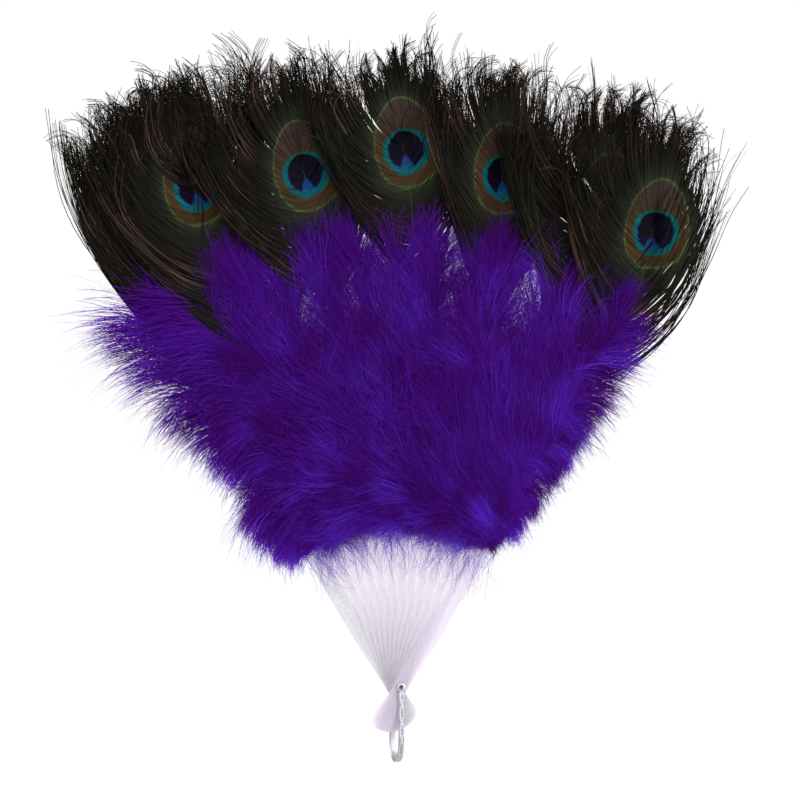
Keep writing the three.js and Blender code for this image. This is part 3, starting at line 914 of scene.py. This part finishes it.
def add_plume(strands, rng, stave, number, shift):
    plume = PLUMES[number]
    locks = plume_locks(rng, plume, round(plume.locks * (OUTER_LOCKS if stave in OUTER_REACH else 1)))
    share, side, clump, angle, length, slope, bend, tint, root = np.repeat(locks, LOCK_STRANDS, axis=1)
    clump = clump.astype(int)
    many = len(root)
    t = np.linspace(0, 1, LOCK_POINTS)[None, :]
    wave = column(rng.uniform(0, FULL_TURN, many))
    outer, reach, leave, finish = outer_fluff(stave, number, side, share)
    outer_angle = leave + (finish - leave) * t ** OUTER_EASE + OUTER_BEND * column(bend)
    angles = np.where(column(outer), outer_angle, column(angle) * (1 - STRAND_CLOSING * t))
    heading = column(side) * angles + column(bend * ~outer) * t + STRAND_STRAY * rng.normal(0, 1, (many, 1))
    heading = heading + STRAND_WAVE["swing"] * np.sin(STRAND_WAVE["rate"] * t + wave) * t
    length = length * reach * strand_lengths(rng, outer)
    start = shift + rng.normal(0, LOCK_RADIUS, many)
    a, b = walk(start, root + rng.normal(0, LOCK_RADIUS, many), heading, length)
    pull = CLUMP_PULL * smooth_step(CLUMP_FROM, 1.0, t)
    rise = column(slope + rng.normal(0, RISE_STRAY, many)) * (1 - RISE_FADE * t)
    rise = rise + RISE_WAVE["swing"] * np.sin(RISE_WAVE["rate"] * t + wave)
    centre = place(stave, gather(a, clump, pull), gather(b, clump, pull), climb(rise, length) - FLUFF_FRONT)
    width = STRAND_WIDTH * (1 - STRAND_TAPER * t ** 2) * rng.uniform(*STRAND_WIDTHS, (many, 1))
    width = width * column(np.where(outer, OUTER_WIDTH, 1))
    twist = rng.uniform(0, math.pi, (many, 1)) + rng.normal(0, 1, (many, 1)) * t
    tint = np.clip(tint + rng.normal(0, STRAND_TINT, many), 0, 1)
    strands.add(centre, width, twist, tint=column(tint), along=t, loose=looseness(centre))
    add_fuzz(strands, rng, centre, tint, many * FUZZ_PER_LOCK // LOCK_STRANDS)


def add_wisps(strands, rng, stave):
    """Single curved hairs that hang from the fluff's lower edge over the bare staves."""
    t = np.linspace(0, 1, LOCK_POINTS)[None, :]
    side = np.where(rng.uniform(0, 1, WISPS) < 0.5, -1.0, 1.0)
    heading = side * np.radians(rng.uniform(*WISP_HEADING, WISPS))
    heading = column(heading) + column(rng.normal(0, WISP_CURVE, WISPS)) * t ** 2
    length = rng.uniform(*WISP_LENGTH, WISPS)
    beside = rng.uniform(-WISP_BESIDE, WISP_BESIDE, WISPS)
    a, b = walk(beside, rng.uniform(*WISP_ROOT, WISPS), heading, length)
    depth = climb(column(rng.normal(*WISP_SLOPE, WISPS)) * np.ones_like(t), length)
    centre = place(stave, a, b, depth - WISP_FRONT)
    width = WISP_WIDTH * (1 - STRAND_TAPER * t) * np.ones((WISPS, 1))
    twist = rng.uniform(0, math.pi, (WISPS, 1)) * np.ones_like(t)
    strands.add(centre, width, twist, tint=WISP_TINT, along=t, loose=WISP_LOOSE)
    add_fuzz(strands, rng, centre, np.full(WISPS, WISP_TINT), WISPS * WISP_FUZZ)


def add_fuzz(strands, rng, centre, tint, count):
    """Short fine barbules that stand off some of the strands."""
    host = rng.integers(0, len(centre), count)
    step = rng.integers(1, LOCK_POINTS - 1, count)
    start = centre[host, step]
    way = unit(centre[host, step + 1] - start)
    way = unit(way + rng.normal(0, 1, (count, 3)) * np.array(FUZZ_SPREAD))
    droop = rng.normal(0, FUZZ_DROOP, (count, 3))
    t = np.linspace(0, 1, FUZZ_POINTS)[None, :, None]
    length = rng.uniform(*FUZZ_LENGTH, (count, 1, 1))
    path = start[:, None] + (way[:, None] * t + droop[:, None] * t * t) * length
    width = FUZZ_WIDTH * np.linspace(1, FUZZ_TAPER, FUZZ_POINTS)[None, :] * np.ones((count, 1))
    twist = rng.uniform(0, math.pi, (count, 1)) * np.ones((1, FUZZ_POINTS))
    tint = np.clip(tint[host] + FUZZ_LIGHTER, 0, 1)
    along = FUZZ_ALONG + (1 - FUZZ_ALONG) * t[..., 0]
    strands.add(path, width, twist, tint=column(tint), along=along, loose=looseness(path))


def plume_shaft(stave, number, shift, material):
    plume, points = PLUMES[number], PLUME_SHAFT["points"]
    along = np.linspace(plume.start - PLUME_SHAFT["below"], plume.end, points)
    path = place(stave, np.full(points, shift), along, PLUME_SHAFT["depth"])
    name = f"plume_shaft_{stave:02d}_{number + 1}"
    stem = shown(name, tube(name, path, PLUME_SHAFT["radius"]), material)
    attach(stem, body_name(stave))


def marabou(stave, material, shaft):
    rng = np.random.default_rng(RANDOM_SEED * 100 + stave)
    strands = Strands()
    for number in range(len(PLUMES)):
        shift = rng.uniform(-PLUME_SHIFT, PLUME_SHIFT) * number / (len(PLUMES) - 1)
        add_plume(strands, rng, stave, number, shift)
        add_wisps(strands, rng, stave)
        plume_shaft(stave, number, shift, shaft)
    name = f"marabou_barbs_{stave:02d}"
    mesh = strands.mesh(name)
    bake_map(mesh, strands.value("tint"), strands.value("along"))
    piece = shown(name, mesh, material)
    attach(piece, body_name(stave))
    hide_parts(f"marabou_plume_{stave:02d}")
    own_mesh(piece)


# Peacock feathers


def quill_line(feather):
    """The shaft's line in its stave's plane, by the distance from the eye, and the eye's middle and axis."""
    turn = math.radians(feather.eye_shift)
    lean = math.radians(feather.lean)
    eye = np.array([math.sin(turn), math.cos(turn)]) * feather.reach * EYE_DISTANCE
    way = np.array([math.sin(lean), math.cos(lean)])
    root = np.array([0.0, STAVE_TIP])
    pull = QUILL_PULL * np.linalg.norm(eye - root)
    controls = [root, root + [0, pull], eye - way * pull, eye]
    t = np.linspace(0, 1, QUILL_CURVE_POINTS)[:, None]
    weights = [(1 - t) ** 3, 3 * t * (1 - t) ** 2, 3 * t ** 2 * (1 - t), t ** 3]
    bend = sum(weight * point for weight, point in zip(weights, controls))
    reach = np.concatenate([[0], np.cumsum(np.linalg.norm(np.diff(bend, axis=0), axis=1))])
    beyond = eye + way * 2 * SHAFT_ABOVE
    line = np.concatenate([bend, beyond[None]])
    return np.append(reach - reach[-1], 2 * SHAFT_ABOVE), line, eye, way


def along_line(from_eye, line, places):
    """Points of the shaft's line and its heading there, at distances from the eye."""
    def at(distance):
        return np.stack([np.interp(distance, from_eye, points) for points in line.T])
    here = at(places)
    step = here - at(places - 1.0)
    return here[0], here[1], np.arctan2(step[0], step[1])


def by_side(side, pair):
    return np.where(side < 0, *pair)


def barb_roots(rng, feather, quill_start):
    """Places of the barbs on the shaft, their sides, and whether they lie over the eye. They are closer at
    the shaft's end, where they fan out, and fewer low down and where some are missing."""
    lowest = max(-feather.below, quill_start + ROOT_CLEAR)
    sides = np.arange(lowest, SHAFT_ABOVE, BARB_PITCH)
    crest = np.arange(SHAFT_ABOVE * CREST_ROOTS["from"], SHAFT_ABOVE, BARB_PITCH / CREST_ROOTS["closer"])
    over = rng.uniform(*OVER_ROOTS, feather.over // 2)
    half = np.concatenate([sides, crest, over])
    places = np.tile(half, 2)
    side = np.repeat([-1.0, 1.0], len(half))
    lies_over = np.tile(np.arange(len(half)) >= len(sides) + len(crest), 2)
    thinned = smooth_step(lowest + LOW_BARBS["above"], lowest, places)
    present = 1 - (1 - LOW_BARBS["share"]) * thinned
    present = present * (1 - by_side(side, feather.missing) * smooth_step(*MISSING_FROM, places))
    kept = rng.uniform(0, 1, len(places)) < present
    places = places + rng.normal(0, ROOT_STRAY, len(places))
    return places[kept], side[kept], lies_over[kept]


def barb_tufts(rng, places, side, over):
    """The layer of each barb, whether it only fills, and its tuft."""
    many = len(places)
    layer = rng.integers(0, 2, many)
    filling = rng.uniform(0, 1, many) < FILLING_SHARE * smooth_step(*FILLING_FROM, places)
    step = np.minimum(places, 0) / TUFT_PITCH + np.maximum(places, 0) / CREST_TUFT_PITCH
    tuft = np.floor(step + 0.5 * layer + rng.uniform(-TUFT_MIXED, TUFT_MIXED, many)).astype(int)
    _, tuft = np.unique(tuft * 8 + over * 4 + (side > 0) * 2 + layer, return_inverse=True)
    return layer, filling, tuft


def barb_angles(rng, feather, places, side, over):
    """Angles from the shaft, in degrees, at which the barbs leave it and at which they end."""
    many = len(places)
    leave = np.interp(places, *BARB_LEAVE)
    finish = by_side(side, feather.sweep) * smooth_step(SHAFT_ABOVE, SHAFT_ABOVE - SWEEP_FADE, places)
    leave = np.where(over, rng.uniform(*OVER_LEAVE, many), leave)
    finish = np.where(over, rng.uniform(*OVER_FINISH, many), finish)
    spread = 1 + (by_side(side, feather.spread) - 1) * smooth_step(*SPREAD_FROM, places)
    return leave * spread, finish


def barb_lengths(rng, feather, places, side, tuft, filling):
    many, tufts = len(places), tuft.max() + 1
    length = np.interp(places, *BARB_LENGTH)
    length = length * (1 + (by_side(side, feather.flank) - 1) * smooth_step(*FLANK_FROM, places))
    length = length * (1 + (by_side(side, feather.low) - 1) * smooth_step(*LOW_FROM, places))
    ragged = RAGGED["usual"] + rng.normal(0, RAGGED["tuft"], tufts)[tuft]
    ragged = ragged - RAGGED["barb"] * rng.uniform(0, 1, many) ** RAGGED["ease"]
    length = length * feather.barbs * ragged * np.where(filling, rng.uniform(*FILLING_LENGTH, many), 1)
    missing = by_side(side, feather.missing)
    cropped = rng.uniform(0, 1, many) < missing * smooth_step(*CROPPED_FROM, places)
    return length * np.where(cropped & (places > MISSING_FROM[1]), CROPPED_LENGTH, 1)


def barb_curl(rng, feather, t, places, tuft):
    """Turn of the barbs' tips, strongest at the crest, with a fine frizz."""
    many, tufts = len(places), tuft.max() + 1
    crest = smooth_step(*CREST_FROM, places)
    curl = rng.normal(feather.curl, TUFT_CURL, tufts)[tuft] + rng.normal(0, CURL["stray"], many)
    curl = np.radians(curl * (CURL["low"] + (1 - CURL["low"]) * crest))
    curl = column(curl) * smooth_step(CURL["from"], 1.0, t) ** CURL["ease"]
    turn = rng.uniform(0, FULL_TURN, tufts)[tuft] + FRIZZ["stray"] * rng.normal(0, 1, many)
    frizz = rng.uniform(*FRIZZ["size"], tufts)[tuft] * (FRIZZ["low"] + (1 - FRIZZ["low"]) * crest)
    frizz = column(np.radians(frizz)) * np.sin(FRIZZ["rate"] * t + column(turn))
    return curl + frizz * smooth_step(*FRIZZ["from"], t)


def barb_sway(rng, t, tuft, fine):
    tufts = tuft.max() + 1
    phase = rng.uniform(0, FULL_TURN, tufts)[tuft] + SWAY["stray"] * fine
    sway = np.radians(rng.uniform(*SWAY["size"], tufts)[tuft])
    return column(sway) * np.sin(SWAY["rate"] * t + column(phase)) * t


def barb_depth(rng, t, places, length, layer, filling, over):
    """Depth of the barbs, which bow to the front in two layers, with the filling ones behind."""
    many = len(places)
    slope = column(rng.uniform(-BARB_SLOPE, BARB_SLOPE, many)) * (1 - t)
    tip = np.clip(rng.normal(0, TIP_SLOPE["usual"], many), -TIP_SLOPE["limit"], TIP_SLOPE["limit"])
    slope = slope + column(tip) * t ** 2
    bow = BARB_BOW * smooth_step(*BOW_FROM, places)
    bow = bow + BARB_LAYER * np.where(filling, FILLING_LAYER, 2 * layer - 1)
    depth = np.maximum(climb(slope, length) - column(bow) * smooth_step(*BOW_RISE, t), -BARB_FRONT)
    return depth - OVER_FRONT * column(over) * smooth_step(*OVER_RISE, t)


def barb_width(t, u, v, filling):
    in_eye = smooth_step(EYE_WIDEN["from"], EYE_WIDEN["full"], np.hypot(u, v * EYE_WIDEN["flatten"]))
    width = BARB_WIDTH * (1 - BARB_TAPER["share"] * smooth_step(BARB_TAPER["from"], 1, t))
    width = width * (1 + EYE_WIDEN["share"] * in_eye)
    return width * (1 + (FILLING_WIDTH - 1) * column(filling) * smooth_step(*FILLING_NARROWS, t))


def add_barbs(strands, rng, feather):
    from_eye, line, eye, way = quill_line(feather)
    places, side, over = barb_roots(rng, feather, from_eye[0])
    many = len(places)
    layer, filling, tuft = barb_tufts(rng, places, side, over)
    tufts = tuft.max() + 1
    leave, finish = barb_angles(rng, feather, places, side, over)
    fine = rng.normal(0, 1, many)
    length = barb_lengths(rng, feather, places, side, tuft, filling)
    t = np.linspace(0, 1, BARB_POINTS)[None, :]
    angle = column(np.radians(finish)) + column(np.radians(leave - finish)) * (1 - t) ** BARB_EASE
    angle = angle + column(np.radians(rng.normal(0, TUFT_STRAY, tufts)[tuft] + BARB_STRAY * fine)) * t
    a, b, shaft_heading = along_line(from_eye, line, places)
    straight = BARB_STRAIGHTEN * t
    heading = column(shaft_heading) * (1 - straight) + np.radians(feather.lean) * straight
    heading = heading + column(side) * angle + barb_curl(rng, feather, t, places, tuft)
    heading = heading + barb_sway(rng, t, tuft, fine)
    a, b = walk(a, b, heading, length)
    pull = TUFT_PULL * smooth_step(*TUFT_FROM, t) * rng.uniform(*TUFT_HOLD, (many, 1)) * column(~filling)
    a, b = gather(a, tuft, pull), gather(b, tuft, pull)
    centre = place(feather.stave, a, b, barb_depth(rng, t, places, length, layer, filling, over))
    u = (a - eye[0]) * way[1] - (b - eye[1]) * way[0] + BESIDE_EYE * column(over)
    v = (a - eye[0]) * way[0] + (b - eye[1]) * way[1]
    twist = rng.normal(0, BARB_TWIST["whole"], (many, 1))
    twist = twist + rng.normal(0, BARB_TWIST["tip"], (many, 1)) * smooth_step(BARB_TWIST["from"], 1, t)
    tint = BARB_TINT["usual"] + rng.normal(0, BARB_TINT["tuft"], tufts)[tuft]
    tint = np.clip(tint + rng.normal(0, BARB_TINT["barb"], many), 0, 1)
    strands.add(centre, barb_width(t, u, v, filling), twist, tint=column(tint), along=t, eye_u=u, eye_v=v)
    add_barbules(strands, rng, centre, tint, u, v)


def add_barbules(strands, rng, centre, tint, u, v):
    """Tiny side hairs that roughen the loose part of each barb."""
    count = len(centre) * BARBULES_PER_BARB
    host = rng.integers(0, len(centre), count)
    step = rng.integers(2, BARB_POINTS - 1, count)
    share = rng.uniform(0, 1, (count, 1))
    start = centre[host, step - 1] * (1 - share) + centre[host, step] * share
    way = unit(centre[host, step] - centre[host, step - 1])
    flat = np.cross(way, np.array([0.0, 1.0, 0.0]))
    side = np.where(rng.uniform(0, 1, (count, 1)) < 0.5, -1.0, 1.0)
    lean = rng.uniform(*BARBULE_LEAN, (count, 1))
    end = start + (way + side * lean * flat + rng.normal(0, BARBULE_STRAY, (count, 3))) * BARBULE_LENGTH
    width = np.array([BARBULE_WIDTH]) * np.ones((count, 1))
    twist = rng.uniform(0, math.pi, (count, 1)) * np.ones((1, 2))
    strands.add(np.stack([start, end], axis=1), width, twist, tint=column(tint[host]), along=0.5,
                eye_u=column(u[host, step]), eye_v=column(v[host, step]))


def peacock_quill(number, feather, material):
    from_eye, line, _, _ = quill_line(feather)
    a, b, _ = along_line(from_eye, line, np.linspace(from_eye[0], SHAFT_ABOVE, QUILL["points"]))
    in_slot = np.linspace(QUILL["slot"], STAVE_TIP - 1, QUILL["slot_points"])
    a = np.concatenate([np.zeros(QUILL["slot_points"]), a])
    b = np.concatenate([in_slot, b])
    name = f"peacock_quill_{number:02d}"
    stem = shown(name, tube(name, place(feather.stave, a, b, QUILL["depth"]), QUILL["radius"]), material)
    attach(stem, body_name(feather.stave))


def share_of(limits, values):
    return np.clip((values - limits[0]) / (limits[1] - limits[0]), 0, 1)


def peacock(number, feather, material, shaft):
    rng = np.random.default_rng(RANDOM_SEED * 1000 + number)
    strands = Strands()
    add_barbs(strands, rng, feather)
    name = f"peacock_barbs_{number:02d}"
    mesh = strands.mesh(name)
    bake_map(mesh, share_of(BAKE_ACROSS, strands.value("eye_u")), share_of(BAKE_UP, strands.value("eye_v")))
    piece = shown(name, mesh, material)
    stave = feather.stave
    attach(piece, body_name(stave))
    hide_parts(f"peacock_feather_{number:02d}")
    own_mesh(piece)
    peacock_quill(number, feather, shaft)


# Metal fittings


def bail_line(count):
    """Way along the bail from the front eye, round the bend, to the rear eye, the length of its straight leg,
    its middle line and its outward way."""
    bend_at = -(BAIL_LENGTH - BAIL_THICKNESS / 2 - BAIL_BEND_HEIGHT)
    turn = np.linspace(0, math.pi, count)
    y = np.concatenate([[-BAIL_MIDDLE], -BAIL_MIDDLE * np.cos(turn), [BAIL_MIDDLE]])
    z = np.concatenate([[0], bend_at - BAIL_BEND_HEIGHT * np.sin(turn), [0]])
    reach = np.concatenate([[0], np.cumsum(np.hypot(np.diff(y), np.diff(z)))])
    s = np.linspace(0, reach[-1], count)
    y = np.interp(s, reach, y)
    z = np.interp(s, reach, z)
    out_y = y / BAIL_MIDDLE ** 2
    out_z = np.minimum(0, z - bend_at) / BAIL_BEND_HEIGHT ** 2
    middle = np.zeros(count)
    return s, -bend_at, np.stack([middle, y, z], axis=-1), unit(np.stack([middle, out_y, out_z], axis=-1))


def cord_relief(s, leg, across):
    """Height of two cords that cross on the front leg and end at the eye and at the bend, and the share of
    painted shade in the grooves between them.
    """
    swing = CORD_SWING * np.sin(math.pi * s / CORD_CROSSING)
    first = np.exp(-((across - swing) / CORD_WIDTH) ** 2)
    second = np.exp(-((across + swing) / CORD_WIDTH) ** 2)
    lay = 1 - CORD_LAY_DEPTH + CORD_LAY_DEPTH * np.sin(FULL_TURN * (s / CORD_LAY + across))
    cord = np.maximum(first, second) * lay
    rim = smooth_step(*RIM_FROM, np.abs(across))
    present = smooth_step(*CORD_START, s) * smooth_step(leg + CORD_END[0], leg + CORD_END[1], s)
    height = np.maximum(cord, RIM_HEIGHT * rim) * np.sqrt(np.maximum(0, 1 - across ** 2))
    groove_shade = smooth_step(*GROOVE_SHADE_FROM, np.maximum(cord, rim)) * present + PLAIN_SHADE * (1 - present)
    return CORD_HEIGHT * height * present, groove_shade


def bail_mesh():
    count, wide = BAIL_STEPS, BAIL_STEPS_ACROSS
    s, leg, line, out = bail_line(count)
    side = np.cross(out, unit(np.gradient(line, axis=0)))
    across = np.linspace(-1, 1, wide)
    half = BAIL_THICKNESS / 2 * np.sqrt(np.maximum(0, 1 - np.abs(across) ** BAIL_EDGE_POWER))
    relief, groove_shade = cord_relief(*np.broadcast_arrays(s[:, None], leg, across[None, :]))
    front = half[None, :] + relief
    back = -half[::-1][None, :] * np.ones((count, 1))
    offset = np.concatenate([front, back], axis=1)
    place_across = np.concatenate([across, across[::-1]]) * BAIL_WIDTH / 2
    ring = line[:, None] + side[:, None] * place_across[None, :, None] + out[:, None] * offset[..., None]
    past_eye = np.minimum(s, s[-1] - s)[:-1] > BAIL_START
    quads = ring_quads(count, 2 * wide)[np.repeat(past_eye, 2 * wide)]
    mesh = mesh_from("bail_loop", ring.reshape(-1, 3), quads)
    # Painted shade in the front leg's grooves; the back and the plain parts take the plain share
    set_value(mesh, "groove_shade", np.concatenate([groove_shade, np.full((count, wide), PLAIN_SHADE)], axis=1).ravel())
    return mesh


def eye_ring(name, middle):
    """A ring about the rivet's axis with softened edges."""
    outer, bore, half = EYE_RING_DIAMETER / 2, EYE_RING_BORE / 2, EYE_RING_THICKNESS / 2
    soft = EYE_RING_EDGE
    profile = [(bore, -half + soft), (bore + soft, -half), (outer - soft, -half), (outer, -half + soft),
               (outer, half - soft), (outer - soft, half), (bore + soft, half), (bore, half - soft),
               (bore, -half + soft)]
    turn = np.linspace(0, FULL_TURN, EYE_RING_STEPS, endpoint=False)
    rings = [[(r * math.cos(a), y + middle, r * math.sin(a)) for a in turn] for r, y in profile]
    return mesh_from(name, np.array(rings).reshape(-1, 3), ring_quads(len(profile), EYE_RING_STEPS))


def fittings():
    # The second colour is the painted shade in the bail's grooves
    steel = metal_material("nickel_plate", colour(206, 206, 212), colour(158, 155, 164))
    loop = shown("bail_loop", bail_mesh(), steel)
    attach(loop, "bail")
    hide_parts("bail")
    for name, middle in (("bail_eye_front", -BAIL_MIDDLE), ("bail_eye_rear", BAIL_MIDDLE)):
        ring = shown(name, eye_ring(name, middle), steel)
        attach(ring, "bail")
    dress("rivet", rivet_material())


# Staves and ribbons


def dress(node_name, material):
    """Give a carried-over CAD node its material."""
    materials = frame["nodes"][node_name].data.materials
    materials.clear()
    materials.append(material)


def dress_staves():
    milky = plastic_material("milky_plastic", colour(231, 228, 234))
    greyer = plastic_material("milky_plastic_rear", colour(214, 211, 219))
    pinker = plastic_material("milky_plastic_front", colour(229, 220, 235))
    dress("rear_guard_stave", greyer)
    dress("front_guard_stave", pinker)
    for stave in range(2, STAVE_COUNT):
        dress(f"stave_{stave:02d}", milky)


def ribbon(stave, material):
    """A strip of satin from behind a stave's tongue to its rear neighbour's."""
    angle = np.radians(np.linspace(RIBBON_OVERLAP, -stave_step(), RIBBON_STEPS))
    sag = RIBBON_SAG * np.sin(np.linspace(0, RIBBON_BENDS * math.pi, RIBBON_STEPS))
    inner = RIBBON_RADIUS - RIBBON_WIDTH / 2
    radius = np.linspace(inner, inner + RIBBON_WIDTH, RIBBON_ROWS)[:, None]
    corners = place(stave, radius * np.sin(angle), radius * np.cos(angle), RIBBON_OFFSET + sag)
    first = np.arange(RIBBON_ROWS - 1)[:, None] * RIBBON_STEPS + np.arange(RIBBON_STEPS - 1)[None, :]
    quads = np.stack([first, first + 1, first + RIBBON_STEPS + 1, first + RIBBON_STEPS], axis=-1)
    name = f"ribbon_{stave - 1:02d}"
    piece = shown(name, mesh_from(name, corners.reshape(-1, 3), quads.reshape(-1, 4)), material)
    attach(piece, body_name(stave))
    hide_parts(f"link_ribbon_{stave - 1:02d}")
    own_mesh(piece)


# Stage, light and camera


def floor():
    """A pale floor that the camera and reflections see almost white, without more light on the fan."""
    mesh = bpy.data.meshes.new("floor")
    reach, level = FLOOR_REACH * MM, FLOOR_LEVEL * MM
    corners = [(-reach, -reach), (reach, -reach), (reach, reach), (-reach, reach)]
    mesh.from_pydata([(x, y, level) for x, y in corners], [], [(0, 1, 2, 3)])
    tree = Tree("floor")
    matt = tree.node("BsdfDiffuse", Color=(FLOOR_TONE, FLOOR_TONE, FLOOR_TONE, 1))
    glow = tree.node("Emission", Color=(1, 1, 1, 1), Strength=FLOOR_GLOW["strength"])
    shader = tree.blend(tree.math("MULTIPLY", tree.seen(), FLOOR_GLOW["share"]), matt, glow)
    shown("floor", mesh, tree.finish(shader))


def world():
    """Plain white light from all sides, seen as white by the camera and in reflections."""
    tree = Tree("studio", "worlds", "OutputWorld")
    level = tree.math("MULTIPLY_ADD", tree.seen(), 1 - WORLD_LEVEL, WORLD_LEVEL)
    back = tree.node("Background", Color=(1, 1, 1, 1), Strength=level)
    bpy.context.scene.world = tree.finish(back)


def lamp(name, spot, power):
    data = bpy.data.lights.new(name, "AREA")
    data.size = LAMP_SIZE * MM
    data.energy = power
    light = bpy.data.objects.new(name, data)
    light.location = Vector(spot) * MM
    light.rotation_mode = "QUATERNION"
    light.rotation_quaternion = (Vector(LAMP_TARGET) - Vector(spot)).to_track_quat("-Z", "Y")
    bpy.context.scene.collection.objects.link(light)


def camera():
    data = bpy.data.cameras.new("camera")
    data.lens = LENS
    data.sensor_width = SENSOR
    turn = math.radians(VIEW_TURN)
    to_right = Vector((math.cos(turn), -math.sin(turn), 0))
    away = Vector((math.sin(turn), math.cos(turn), 0))
    middle = to_right * VIEW_MIDDLE[0] + Vector((0, 0, VIEW_MIDDLE[1]))
    eye = bpy.data.objects.new("camera", data)
    eye.location = (middle - away * (VIEW_SIZE * LENS / SENSOR)) * MM
    eye.rotation_euler = (math.pi / 2, 0, -turn)
    bpy.context.scene.collection.objects.link(eye)
    bpy.context.scene.camera = eye


def studio():
    floor()
    world()
    for name, (spot, power) in LAMPS.items():
        lamp(name, spot, power)
    camera()
    bpy.context.scene.view_settings.view_transform = "Standard"


def build():
    dress_staves()
    satin = ribbon_material()
    down = marabou_material()
    dyed_shaft = shaft_material("dyed_shaft", colour(70, 30, 130), colour(90, 50, 170))
    herl = peacock_material()
    horn = shaft_material("horn_shaft", colour(150, 132, 112), colour(24, 18, 12))
    for stave in range(1, STAVE_COUNT + 1):
        marabou(stave, down, dyed_shaft)
        if stave > 1:
            ribbon(stave, satin)
    for number, feather in enumerate(PEACOCK, 1):
        peacock(number, feather, herl, horn)
    fittings()
    studio()


build()
